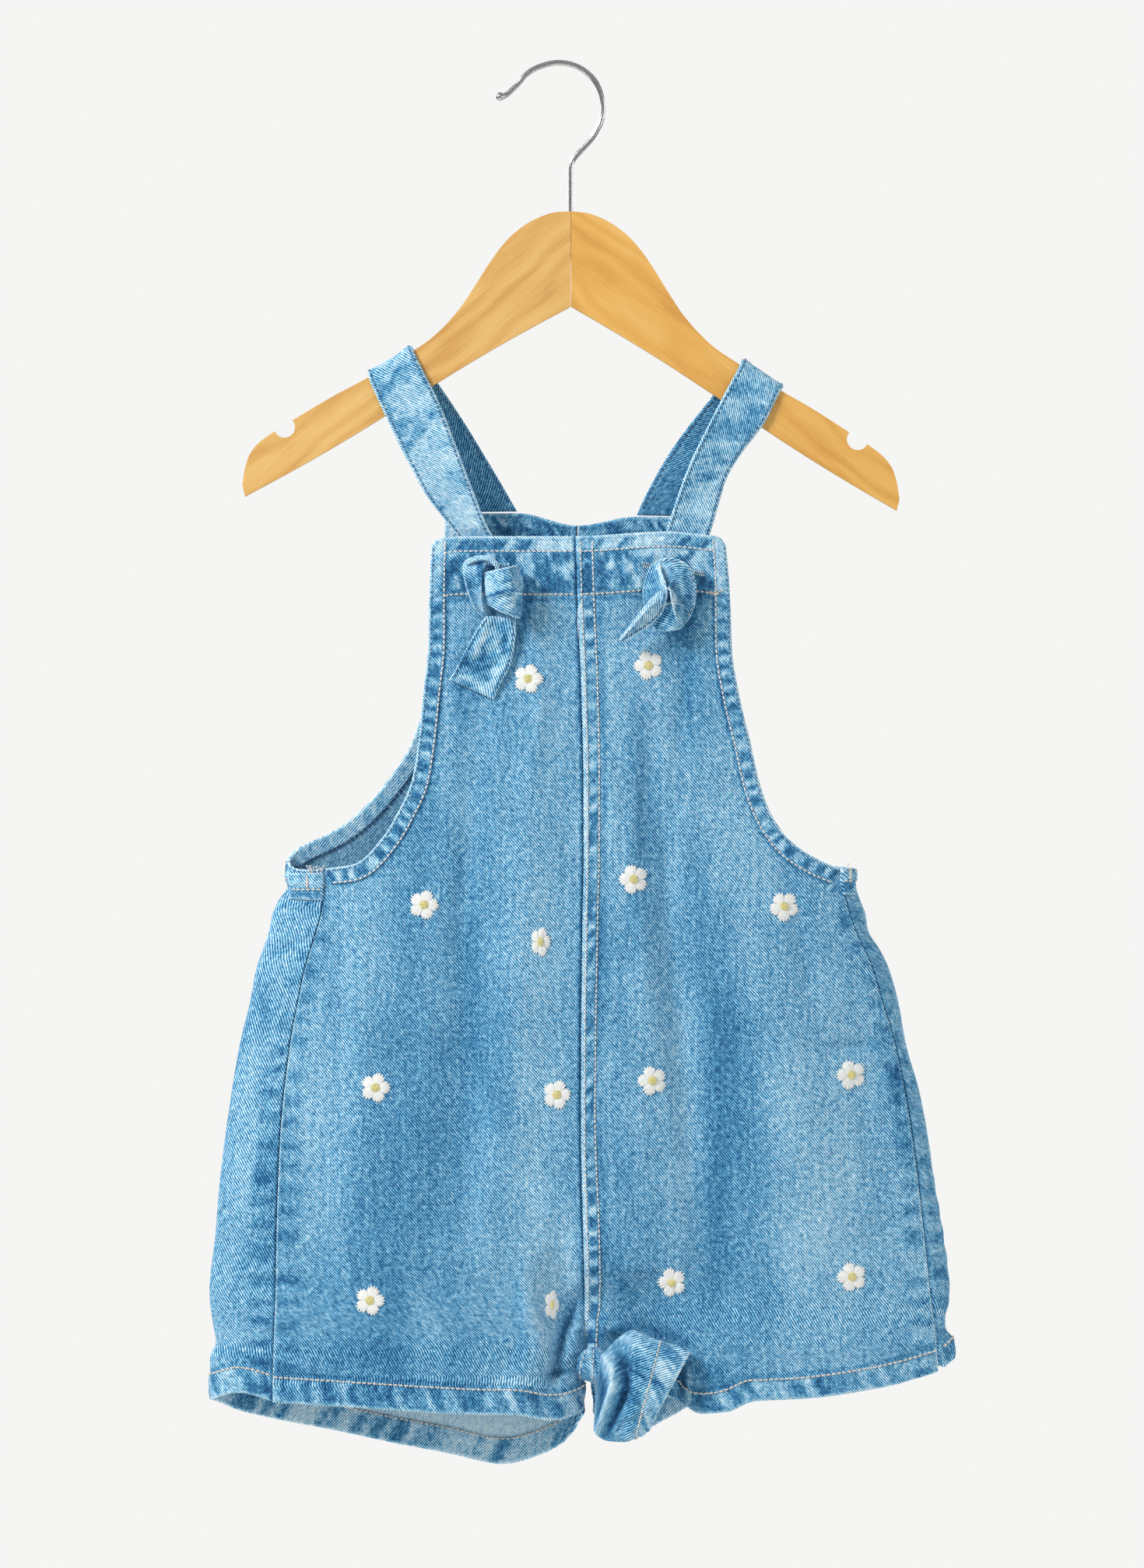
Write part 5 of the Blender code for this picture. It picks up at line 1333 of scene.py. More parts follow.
STRAP_STATIONS = {"left": [(-47.4, 210, 8.6, -19.6, 209.6, 8.6),
    (-53, 201.5, 8.4, -28.6, 194, 8.6), (-66, 180.5, 8.2, -44, 168.5, 8.4),
    (-77.5, 162.6, 7.9, -56.6, 149.6, 7.9), (-88, 148.6, 7.3, -67.2, 135.6, 7.3),
    (-89.4, 145.9, 6.2, -68.4, 133.2, 6.2), (-89.9, 145, 3.2, -68.9, 132.3, 3.2),
    (-89.9, 145, -3.2, -68.9, 132.3, -3.2), (-89.4, 145.9, -6.2, -68.4, 133.2, -6.2),
    (-88.4, 149.6, -7.3, -67.2, 136.8, -7.3), (-79.8, 168.4, -7.7, -56.6, 157.7, -7.9),
    (-71.5, 185.5, -7.6, -48.8, 177.4, -8.6), (-61.5, 203.5, -6.2, -40.6, 199, -8.6),
    (-48.6, 220, -4.4, -32.6, 218.6, -7.6), (-43.6, 228.4, -6.2, -24.6, 228, -6.8),
    (-43, 232.6, -7.6, -23.4, 232.6, -7.6), (-43, 234.2, -9.4, -23, 234.2, -9.4),
    (-43, 234.6, -11.4, -23, 234.6, -11.4), (-43, 234.7, -13.4, -23, 234.7, -13.4)], "right":
    [(36.6, 211.4, 8.6, 62.6, 212, 8.6), (41.6, 200.6, 8.5, 68, 202, 8.3),
    (53.4, 180, 8.4, 76, 192, 8.2), (71.4, 156.4, 7.9, 92.6, 168.6, 7.9),
    (84.4, 141.6, 7.3, 103.6, 154.6, 7.3), (85.6, 139.2, 6.2, 105, 152.2, 6.2),
    (86, 138.4, 3.2, 105.6, 151.4, 3.2), (86, 138.4, -3.2, 105.6, 151.4, -3.2),
    (85.6, 139.2, -6.2, 105, 152.2, -6.2), (84.2, 142.8, -7.3, 103, 155.4, -7.3),
    (76.5, 157, -7.9, 96.2, 169, -7.7), (68.4, 173, -8.6, 86, 182.4, -6.2),
    (61.1, 188.4, -9, 79, 194, -5.4), (55, 205, -8.6, 74.6, 208.6, -5.8),
    (49.8, 220.6, -7.4, 70.6, 221.6, -6.4), (44.8, 231, -6.8, 65.6, 232.4, -6.6),
    (44.4, 235.2, -7.6, 64.4, 236.7, -7.6), (44.4, 236.6, -9.4, 64.2, 238.1, -9.4),
    (44.4, 237, -11.4, 64.2, 238.5, -11.4), (44.4, 237.1, -13.4, 64.2, 238.6, -13.4)]}
TAIL_STATIONS = {"left": [(-34, 258.9, -15.2, -20.4, 260, -15.6),
    (-39.6, 267, -14.4, -20.2, 268.6, -15), (-46, 279, -13.7, -22.6, 282, -14.2),
    (-49.8, 286, -13.3, -27.4, 291, -13.8), (-51.6, 288.8, -13.3, -30.4, 298.3, -13.7)], "right":
    [(45, 250.6, -24.6, 51.2, 252.6, -23), (41, 254.4, -24.2, 47.2, 259.6, -21.6),
    (36.2, 260, -23.2, 40.4, 265, -20.4), (31.6, 265.8, -21.8, 34.2, 268.8, -19.6),
    (28.2, 270.2, -20.4, 29.4, 271.6, -19)]}
LOOP_STATIONS = [(-44.2, 233.6, -14.6, -29.4, 231.6, -15.6),
    (-45, 236.6, -17, -33.2, 233.6, -18.6), (-44.4, 242, -18.4, -35.6, 239, -20.2),
    (-42.6, 249, -17.6, -36.2, 248, -19), (-39, 257, -15.6, -35, 257.4, -16.6)]
# top x, top drop, bottom x, bottom drop, half depth, y, from the closed end to the hem
TURNOUT = [(19.6, 609, 17.4, 640, 3.6, -17.2), (22.6, 604, 18.4, 643.2, 4.4, -17.6),
    (28.4, 598.2, 22.4, 645.4, 5.4, -18.2), (35, 594.6, 27.8, 645.8, 6.2, -18.8),
    (43, 597.6, 33, 645.2, 6.8, -19.4), (52.6, 601, 38.4, 642.6, 6.8, -19.6),
    (61.8, 604.4, 42.8, 639.2, 6.2, -19.4)]
TURNOUT_HEM = 11.6
TURNOUT_LINES = [([(20.5, 604), (25.6, 612), (26.2, 620), (22.2, 630), (18.4, 641)], 2.3, 3.6),
    ([(27, 602), (31.4, 611), (32, 621), (27.8, 631), (22, 643)], 1.7, -4),
    ([(16.6, 610), (20, 622), (17.4, 636)], 2.2, -3.2),
    ([(25.3, 607.5), (33.7, 611.6), (41.7, 616.7), (55, 622)], 1.2, -1.3),
    ([(30, 598.5), (40, 603.5), (47, 612)], 4, 1.5), ([(34, 622), (36, 630), (33, 642)], 3, 1.2),
    ([(26, 643), (33, 637), (40, 634)], 1.8, -0.9)]
# Painted shade in the turned leg's folds and hollow, and painted highlights on its ridges
TURNOUT_MARKS = [([(20.6, 604), (25.4, 612), (26, 620), (22, 630), (18.2, 641)], 1.5, -1.1),
    ([(27.6, 602), (31.4, 611), (32, 621), (27.8, 631), (22.2, 643)], 2, 1.5),
    ([(16.6, 609), (20, 622), (17, 637)], 2.8, 1.6),
    ([(25.3, 608), (33.7, 611.9), (41.7, 617), (53, 621.4)], 0.9, 0.8),
    ([(33, 603), (38, 610), (40, 614)], 3.6, 0.6), ([(45, 603), (52, 606)], 3.2, 0.35),
    ([(34, 620), (35, 632), (31, 642)], 3.6, 0.45), ([(44, 622), (40, 630)], 3.4, -0.35),
    ([(30, 597), (36, 600), (42, 606)], 1.6, -0.4)]
ROLL_STITCHES = [[(12.6, 603.5), (10.4, 609.5), (9.9, 615), (11.2, 618)], [(16.4, 602.8),
    (16.2, 609), (15.8, 614.5), (15.8, 618)]]
CROTCH_ROLL = ((16.4, -11.5, 610.4), (7.6, 5.2, 8.2), -12)

# x, drop, degrees that the first petal is turned, width as a share of the height
DAISIES = [(-14.3, 288.4, 0, 1), (42.1, 282.2, 36, 1), (-63.3, 394.5, 0, 1),
    (-8.6, 411.8, 0, 0.68), (35.1, 382.5, 36, 1), (105.8, 395.3, 52, 1), (-86, 480.2, 0, 1),
    (-0.9, 483.5, 0, 0.95), (43.9, 476.9, 36, 1), (137.3, 474.3, 36, 1), (-88.6, 580.1, 0, 1),
    (-3.2, 582.3, 0, 0.5), (53.1, 571.7, 36, 0.95), (137.6, 569.1, 36, 1)]
DAISY_RADIUS = 6.8
PETALS = 5
PETAL_THREADS = 11
# Shares of a petal thread's length, and its thickness there
PETAL_SHARES = (0.10, 0.25, 0.45, 0.65, 0.82, 0.94, 1.0)
PETAL_SWELL = np.array([0.4, 0.6, 0.85, 1.0, 1.08, 1.0, 0.6])
# The centre's rings of knots: radius, how many, thickness
CENTRE_RINGS = ((1.62, 17, 0.36), (0.85, 9, 0.40), (0.0, 1, 0.5))

STEM_X = 5.7
HANGER_THICK = 12.0
HANGER_TILT = 1.24  # degrees, the right arm lower
HANGER_TOP = Table("from_middle drop", [(0, 68.8), (7, 69.3), (14, 71.5), (20, 74.6), (27, 79.9),
    (33, 86.5), (39, 95), (45, 104.6), (52, 115.2), (60, 124.5), (68, 131.7), (80, 139.4),
    (98, 150.4), (112, 158.2), (129, 168.6), (140.2, 175.8), (146.1, 180.2), (150.7, 185.7),
    (153.2, 192.9), (154.4, 200.6)])
HANGER_TIP = (153.2, 206.0)
HANGER_APEX = 113.4  # underside at the joint
NOTCH_PLACE = (134.7, 173.0)
NOTCH_RADIUS = 5.0
WOOD_ROUNDING = 1.7
STEM_HOLE_DEPTH = 24.0
WIRE = 1.3  # radius
HOOK_RADIUS = 21.0  # of the crown, to the middle of the wire
HOOK_NOSE = [(-22.6, -12.0), (-24.6, -13.8), (-26.4, -14.6)]  # x, z
# x, z below the crown's arc, down to the stem
HOOK_SHANK = [(18.6, -29.2), (15.9, -33.8), (12, -38.4), (8.7, -41.9), (6.6, -44.6), (5.8, -47.6),
    (5.7, -51), (5.7, -70)]
BALL = 2.0  # radius of the hook's rounded nose


# Straps, knots and tails


def smooth_stations(stations, between):
    stations = np.array(stations, float)
    ends = np.vstack([2 * stations[0] - stations[1], stations, 2 * stations[-1] - stations[-2]])
    result = []
    for i in range(1, len(ends) - 2):
        p0, p1, p2, p3 = ends[i - 1 : i + 3]
        t = (np.arange(between) / between)[:, None]
        curve = 2 * p1 + (p2 - p0) * t + (2 * p0 - 5 * p1 + 4 * p2 - p3) * t**2
        result.append(0.5 * (curve + (3 * p1 - p0 - 3 * p2 + p3) * t**3))
    return np.vstack(result + [stations[-1:]])


def relax(values, rounds):
    """Takes the corners off a list of stations and keeps its ends."""
    values = values.copy()
    for _ in range(rounds):
        values[1:-1] = (values[:-2] + 2 * values[1:-1] + values[2:]) / 4
    return values


def mark_shades(wear_and_light, dark_and_shade, marks):
    """Marks above 0 darken and marks below 0 whiten."""
    dark, pale = unit(marks), unit(-marks)
    return unit(wear_and_light + pale - 0.8 * dark), unit(dark_and_shade + dark - 0.8 * pale)


def make_band(name, stations, node, seed, pale=0.3, thick=STRAP_THICK, crown=0.0, columns=26,
              roll=0.25, dark=0.5, lines=(), marks=(), stitched=True, shade_behind=0.0):
    """A folded band of cloth through its stations. lines add relief, and marks paint shade and
    highlights along paths in x and drop."""
    stations = relax(smooth_stations(stations, 10), 3)
    left = np.column_stack([stations[:, 0], stations[:, 2], -stations[:, 1]])
    right = np.column_stack([stations[:, 3], stations[:, 5], -stations[:, 4]])
    share = 0.5 - 0.5 * np.cos(np.pi * np.linspace(0, 1, columns))
    share = (0.55 * share + 0.45 * np.linspace(0, 1, columns))[None, :, None]
    middle = left[:, None, :] * (1 - share) + right[:, None, :] * share
    normals = grid_normals(middle)
    middle = middle + normals * crown * np.sin(np.pi * share)
    widths = np.linalg.norm(right - left, axis=1)[:, None]
    across = share[..., 0] * widths
    along = np.broadcast_to(distances((left + right) / 2)[:, None], across.shape)
    edge = np.minimum(across, widths - across)
    wave = ripple(along / 6.6 + 0.4 * noise1(along / 9, seed))
    relief = roll * wave * window(edge, 0.8, 4.5, 2.2)
    relief = relief + 0.22 * noise2(across / 7 + seed, along / 9, seed + 2)
    x, drop = middle[..., 0], -middle[..., 2]
    away = np.sign(np.sum(normals[..., 1])) or 1
    relief = relief - away * line_height(lines, x, drop)
    near = 1 if stitched else 0
    half = 0.5 * thick * (0.84 + 0.16 * window(edge, 0, 5, 2)) * rim_round(edge, 0.8)
    to_end = along[-1:] - along
    half = half * rim_round(along, 0.7) * rim_round(to_end, 0.7)
    groove = 0.16 * near * window(edge, 1.2, 1.6, 0.6)
    outer = middle + normals * (half + relief - groove)[..., None]
    inner = middle - normals * (half - relief - groove)[..., None]
    spots = noise2(across / 9 + seed, along / 5.5, seed + 4)
    bars = blots(along + 0.55 * across, 3.6, seed + 6, 0.0) * 0.6
    bars = bars + 0.7 * noise2(across / 4 + 3, (along - 0.3 * across) / 2.6, seed + 7)
    dark_and_shade = dark * unit(0.75 * bars + 0.8 * spots) * smooth((edge - 0.6) / 1.5)
    # Painted shade in the grooves along the stitch rows
    dark_and_shade = np.maximum(dark_and_shade, 0.55 * near * window(edge, 1.0, 1.9, 0.8))
    wear_and_light = pale + 0.45 * unit(-0.6 * bars - 0.7 * spots)
    wear_and_light = np.maximum(wear_and_light, 0.9 * smooth((0.9 - edge) / 0.7))
    wear_and_light = np.maximum(wear_and_light, 0.8 * smooth((0.9 - along) / 0.7) * near)
    wear_and_light = np.maximum(wear_and_light, 0.8 * smooth((0.9 - to_end) / 0.7) * near)
    # Painted shade where the band lies at the back, behind the bib
    shade_at_back = smooth((middle[..., 1] - 1) / 4)
    dark_and_shade = np.maximum(dark_and_shade, shade_behind * shade_at_back)
    wear_and_light = wear_and_light * (1 - 0.8 * shade_behind * shade_at_back)
    wear_and_light, dark_and_shade = mark_shades(wear_and_light, dark_and_shade, line_height(marks, x, drop))
    flat = np.stack([across + 300, along + 40 * seed], axis=-1)
    traits = {"wear_and_light": wear_and_light, "dark_and_shade": dark_and_shade, "inside": 0 * wear_and_light}
    made = add_wall(name, outer, inner, flat, traits, traits, denim)
    if node:
        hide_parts(node)
    return made, middle, normals, edge, along


def edge_stitches(name, band, level, thread, ends=3.0, radius=0.2, length=1.5):
    """A row of stitches near each long edge of a band, on both of its faces."""
    made, middle, normals, edge, along = band
    tree = mesh_tree(made)
    threads = Threads()
    half = middle.shape[1] // 2
    for columns in (slice(0, half), slice(half, None)):
        line, line_normals = [], []
        for j in range(len(middle)):
            if not ends < along[j, 0] < along[-1, 0] - ends:
                continue
            values = edge[j, columns]
            order = np.argsort(values)
            places = middle[j, columns][order]
            line.append([np.interp(level, values[order], places[:, i]) for i in range(3)])
            line_normals.append(normals[j, half])
        line, line_normals = np.array(line), np.array(line_normals)
        for sign in (1, -1):
            sew(threads, line, sign * line_normals, tree, radius=radius, length=length)
    threads.finish(name, "denim", thread)


STRAP_PALE = {"left": 0.46, "right": 0.36}
for side, seed in (("left", 5), ("right", 6)):
    strap = make_band(f"strap_{side}_cloth", STRAP_STATIONS[side], f"strap_{side}", seed,
                      pale=STRAP_PALE[side], dark=0.75, shade_behind=0.62)
    edge_stitches(f"strap_{side}_stitches", strap, 1.5, dark_thread, radius=0.34)


LEFT_TAIL_LINES = [([(-34, 262), (-37, 270), (-43, 282)], 2.6, 1.3),
    ([(-22, 266), (-28, 274), (-38, 279), (-47, 281)], 1.5, -1),
    ([(-24, 276), (-31, 283), (-38, 292)], 1.6, -0.8),
    ([(-30, 262), (-26, 270), (-24, 280)], 1.4, -0.7)]
# Painted shade in the valleys and painted highlights on the ridges of the left tail, loop and knot
LEFT_TAIL_MARKS = [([(-36, 264), (-42, 274), (-48, 284)], 1.6, 0.6),
    ([(-27, 262), (-25, 270), (-26, 277)], 1.5, 0.75),
    ([(-31, 268), (-36, 274), (-34, 282)], 1.5, 0.7),
    ([(-44, 280), (-38, 284), (-31, 291)], 1.5, 0.6),
    ([(-33, 261), (-35, 269), (-41, 280)], 1.2, -0.6),
    ([(-23, 276), (-29, 285), (-33, 294)], 1.6, -0.5),
    ([(-47, 285), (-40, 290), (-33, 296)], 1.2, -0.5)]
LOOP_MARKS = [([(-38, 233), (-35.5, 238), (-34.6, 246)], 1.6, 1),
    ([(-43.5, 240), (-41, 248), (-38, 255)], 1.2, 0.5),
    ([(-36.4, 248), (-35.6, 252), (-35.6, 257)], 0.6, -0.8)]
UPPER_MARKS = [([(-33, 250), (-28, 248.4), (-22, 247.4)], 0.9, 0.8),
    ([(-31, 242), (-27, 243), (-22, 241)], 1.2, 0.35), ([(-29, 238), (-26, 246)], 1.2, -0.3)]
# top x, drop, y, then bottom
LEFT_UPPER = [(-32.6, 239.6, -14.8, -31.4, 250.2, -14.9), (-34.4, 238.8, -17.4, -33, 251.6, -17.4),
    (-33.4, 238.2, -21.6, -32, 251.4, -22.2), (-30, 237.4, -25.2, -29.2, 250.4, -25.6),
    (-26.4, 236.6, -26.8, -25.6, 248.9, -27.2), (-22.9, 235.8, -26, -22, 248.6, -26.8),
    (-20.4, 235.2, -22.8, -18.8, 249, -23.6), (-19.3, 235.8, -18.8, -17.8, 249.4, -19),
    (-20.8, 237.4, -15.2, -19.4, 249.4, -15)]
LEFT_LOWER = [(-31, 249, -15.2, -31.4, 252.6, -15.2), (-32.4, 248.8, -18.2, -32.6, 253.2, -18.2),
    (-31, 248.4, -22.4, -31.2, 254.8, -21.8), (-28.6, 247.6, -24.8, -28.4, 256.6, -23.8),
    (-25, 246.6, -25.8, -25.2, 258, -24.4), (-21.8, 246.2, -25.2, -21.8, 259.4, -23.4),
    (-19, 246.6, -21.8, -18.9, 260.2, -20.2), (-18.1, 247, -18.2, -18.4, 259.6, -17.4),
    (-19.6, 247.6, -15.2, -20.2, 258.2, -15.2)]
LEFT_RIM = [(-44.9, 235, -14.6, -43.4, 236.6, -15.4), (-43.6, 232.9, -16.8, -42.6, 235, -18.2),
    (-40, 231.2, -18.6, -39.6, 233.3, -19.8), (-35.8, 230.5, -19.8, -35.9, 232.7, -20.8),
    (-31.8, 231.2, -20.6, -32.9, 233.2, -21.4), (-29, 233.4, -21, -31, 234.6, -21.6),
    (-27.4, 236.6, -20.8, -29.6, 237.4, -21.2), (-27, 240.2, -19.8, -29.2, 240.6, -20.2)]
make_band("knot_loop_left_cloth", LOOP_STATIONS, "knot_loop_left", 11, pale=0.12,
          thick=1.6, crown=0.7, dark=0.6, stitched=False, marks=LOOP_MARKS)
make_band("knot_rim_left_cloth", LEFT_RIM, None, 12, pale=0.75, thick=1.5, crown=0.2,
          columns=12, roll=0.0, dark=0.1)
make_band("knot_left_cloth", LEFT_UPPER, "knot_left", 13, pale=0.25, thick=1.5,
          crown=0.3, roll=0.05, dark=0.6, marks=UPPER_MARKS)
make_band("knot_left_lower_cloth", LEFT_LOWER, None, 14, pale=0.25, thick=1.5,
          crown=0.5, roll=0.05, dark=0.6)
left_tail = make_band("tail_left_cloth", TAIL_STATIONS["left"], "tail_left", 15, pale=0.22,
                      crown=0.4, roll=0.12, dark=0.75, lines=LEFT_TAIL_LINES, marks=LEFT_TAIL_MARKS)
edge_stitches("tail_left_stitches", left_tail, 1.4, dark_thread, ends=1.5, radius=0.3)

RIGHT_LEFT_LOBE = [(44.4, 234.2, -14.8, 47.2, 233.4, -17.6),
    (42.2, 238.2, -15.4, 48.4, 238.2, -22.4), (40.2, 243.8, -15.8, 50, 243.4, -25),
    (39.5, 249, -15.8, 50.8, 248.6, -25.6), (40.4, 255.2, -15.6, 49.6, 254.2, -23.8),
    (42.4, 262.2, -15.2, 48.2, 260.2, -20.4)]
# inner edge, outer edge
RIGHT_WRAP = [(50.2, 247.6, -24.6, 45.2, 233.4, -17), (50.9, 247, -25.4, 49.6, 231.8, -18.4),
    (51.6, 246.8, -26, 56.2, 232.4, -18.6), (52.2, 247.6, -26.2, 62.2, 236.8, -17.8),
    (52.6, 249.8, -25.8, 64.4, 244.6, -17), (53, 253, -25, 64, 252.8, -16.6),
    (54, 257, -23.8, 61.4, 259.8, -16), (55.4, 261, -21.6, 57.8, 263.6, -15.6)]
RIGHT_BOTTOM = [(43.6, 258.8, -14.8, 45.4, 262.6, -14.8), (45, 256.6, -18.8, 46, 264.6, -17.4),
    (48.4, 254, -21.8, 49.2, 266.2, -19.4), (52.6, 252.4, -22.8, 53.6, 266, -20),
    (56.4, 253, -21.8, 57.4, 264.8, -19), (58.6, 254, -18.6, 59, 262, -16.8),
    (58.2, 254.6, -14.8, 58.2, 259.4, -14.8)]
# the folded edge that lies along the tail's upper side
RIGHT_FOLD = [(47.6, 246.8, -27.2, 49.8, 248.6, -27.6), (42.6, 251.6, -26.6, 44.6, 253.6, -27.2),
    (37.6, 257.6, -25.2, 39.2, 259.2, -25.8), (32.4, 264.4, -23.4, 33.6, 265.6, -23.8),
    (28.5, 269.7, -21.9, 29.2, 270.5, -22.1)]
# Painted shade in the valleys and painted highlights on the ridges of the right knot
RIGHT_LEFT_MARKS = [([(46, 233.8), (48.4, 240), (50.4, 247.8)], 0.8, -0.9),
    ([(43.6, 238), (45.4, 244), (46.6, 250)], 2, 0.45),
    ([(44, 254), (46, 258), (47, 261)], 1.6, 0.9)]
RIGHT_WRAP_MARKS = [([(47.2, 236), (49.6, 242), (51, 247.4)], 0.9, 0.9),
    ([(53.4, 248), (54, 253), (55, 258)], 0.9, -0.7),
    ([(58, 240), (60.4, 247), (59.4, 255)], 1.6, 0.5),
    ([(53, 236), (57, 241), (58, 248)], 1.2, -0.35),
    ([(51.4, 243), (55.6, 247), (57, 253)], 1.3, 0.55)]
RIGHT_WRAP_LINES = [([(51.4, 243), (55.8, 247.4), (57.2, 254)], 1.2, -1.1),
    ([(53, 237), (57.6, 241), (59.2, 249)], 1.6, 0.7)]
RIGHT_BOTTOM_MARKS = [([(53, 254), (49, 260), (46, 264)], 1.1, 0.9),
    ([(56, 254), (53, 260), (50, 265)], 0.9, 0.6), ([(55, 264), (50, 265.4)], 0.8, -0.6)]
make_band("knot_right_lobe_cloth", RIGHT_LEFT_LOBE, None, 21, pale=0.12, thick=1.6, crown=0.9,
          dark=0.6, roll=0.1, marks=RIGHT_LEFT_MARKS)
right_wrap = make_band("knot_right_cloth", RIGHT_WRAP, "knot_right", 22, pale=0.16, thick=1.6,
                       crown=2.4, roll=0.15, dark=0.6, marks=RIGHT_WRAP_MARKS,
                       lines=RIGHT_WRAP_LINES)
edge_stitches("knot_right_stitches", right_wrap, 1.4, light_thread, ends=1.5)
make_band("knot_right_bottom_cloth", RIGHT_BOTTOM, None, 23, pale=0.08, thick=1.6, crown=0.6,
          roll=0.1, dark=0.7, marks=RIGHT_BOTTOM_MARKS)
make_band("tail_right_fold_cloth", RIGHT_FOLD, None, 25, pale=0.8, thick=1.3, crown=0.3,
          columns=12, roll=0.05, dark=0.2, stitched=False)
right_tail = make_band("tail_right_cloth", TAIL_STATIONS["right"], "tail_right", 24, pale=0.4,
                       crown=0.3, roll=0.1, dark=0.5)
edge_stitches("tail_right_stitches", right_tail, 1.4, dark_thread, ends=1.5, radius=0.3)

# Turned-out corner of the right leg


def make_turnout():
    sides = 120
    stations = relax(smooth_stations(TURNOUT, 12), 1)
    k = 2 * np.pi * np.arange(sides) / sides
    x_top, drop_top, x_low, drop_low, depth, y = stations.T
    middles = np.column_stack([(x_top + x_low) / 2, y, -(drop_top + drop_low) / 2])
    arms = np.column_stack([(x_top - x_low) / 2, 0 * y, -(drop_top - drop_low) / 2])
    rings = middles[:, None] + arms[:, None] * np.cos(k)[None, :, None]
    rings[..., 1] -= depth[:, None] * np.sin(k)[None, :]
    wrapped = np.concatenate([rings[:, -1:], rings, rings[:, :1]], axis=1)
    normals = grid_normals(wrapped)[:, 1:-1]
    centres = rings.mean(axis=1, keepdims=True)
    if np.sum(normals * (rings - centres)) < 0:
        normals = -normals
    along = distances(middles)[:, None] + 0 * k[None, :]
    from_hem = along[-1:] - along
    girth = distances(wrapped[:, :-1], 1)[:, 1:]
    wave = ripple(girth / 7.6 + 0.1 * from_hem + 0.4 * noise1(girth / 12, 71))
    hem = smooth((TURNOUT_HEM - from_hem) / 0.8)
    relief = 0.34 * wave * hem * window(from_hem, 1.2, 10, 2)
    relief = relief + 0.45 * noise2(girth / 9 + 5, along / 10 + 5, 72) * smooth(along / 6)
    relief = relief - 0.25 * window(from_hem, 10.4, 11.0, 0.8)
    facing = smooth(np.sin(k) * 2.5)[None, :]
    relief = relief + facing * line_height(TURNOUT_LINES, rings[..., 0], -rings[..., 2])
    half = 0.5 * (SHELL + hem) * rim_round(from_hem, 0.9)
    outer = rings + normals * (half + relief)[..., None]
    inner = rings - normals * (half - relief)[..., None]
    axis = centres[0, 0] - centres[1, 0]
    axis /= np.linalg.norm(axis)
    tips = [centres[0, 0] + axis * 1.6, centres[0, 0] + axis * 0.6]
    count = len(rings) * sides
    points = np.vstack([outer.reshape(-1, 3), inner.reshape(-1, 3), tips])
    faces = []
    for base in (0, count):
        faces += ring_faces(len(rings), sides, base)
        for i in range(sides):
            faces.append((base + i, 2 * count + (1 if base else 0), base + (i + 1) % sides))
    last = (len(rings) - 1) * sides
    for i in range(sides):
        a, b = last + i, last + (i + 1) % sides
        faces.append((a, b, b + count, a + count))
    spots = blots(girth + 0.8 * from_hem, 3.6, 73, 0.0)
    wear_and_light = 0.6 * unit(-spots) * window(from_hem, 1.4, 9.6, 2)
    wear_and_light = np.maximum(wear_and_light, 0.9 * smooth((1.7 - from_hem) / 1.4)) + 0.12
    dark_and_shade = 0.6 * unit(spots) * window(from_hem, 1.4, 9.6, 2)
    dark_and_shade = np.maximum(dark_and_shade, 0.5 * unit(noise2(girth / 8 + 9, along / 9, 74)) * (1 - hem))
    # Painted shade in the groove along the hem's stitch row
    dark_and_shade = np.maximum(dark_and_shade, 0.45 * window(from_hem, 10.2, 11.2, 1.2))
    # Painted shade and painted highlights from the marks
    marks = facing * line_height(TURNOUT_MARKS, rings[..., 0], -rings[..., 2])
    wear_and_light, dark_and_shade = mark_shades(wear_and_light, dark_and_shade, marks)
    flat = np.stack([girth + 400, from_hem + 60], axis=-1)
    tip = np.zeros(1)
    traits = {
        "wear_and_light": np.concatenate([wear_and_light.ravel(), wear_and_light.ravel(), tip, tip]),
        "dark_and_shade": np.concatenate([dark_and_shade.ravel(), 0.4 * dark_and_shade.ravel(), tip, tip]),
        "inside": np.concatenate([0 * wear_and_light.ravel(), 0 * wear_and_light.ravel() + 1, tip, tip + 1]),
    }
    flat = np.concatenate([flat.reshape(-1, 2)] * 2 + [flat[0, :1], flat[0, :1]])
    made = add_shell("leg_turnout_cloth", points, faces, flat, traits, denim)
    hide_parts("leg_turnout_right")
    tree = mesh_tree(made)
    threads = Threads()
    j = int(np.argmin(np.abs(from_hem[:, 0] - 10.7)))
    loop = list(range(sides)) + [0]
    sew(threads, rings[j, loop], normals[j, loop], tree, radius=0.42, length=2.0)
    threads.finish("leg_turnout_stitches", "denim", tan_thread)


make_turnout()


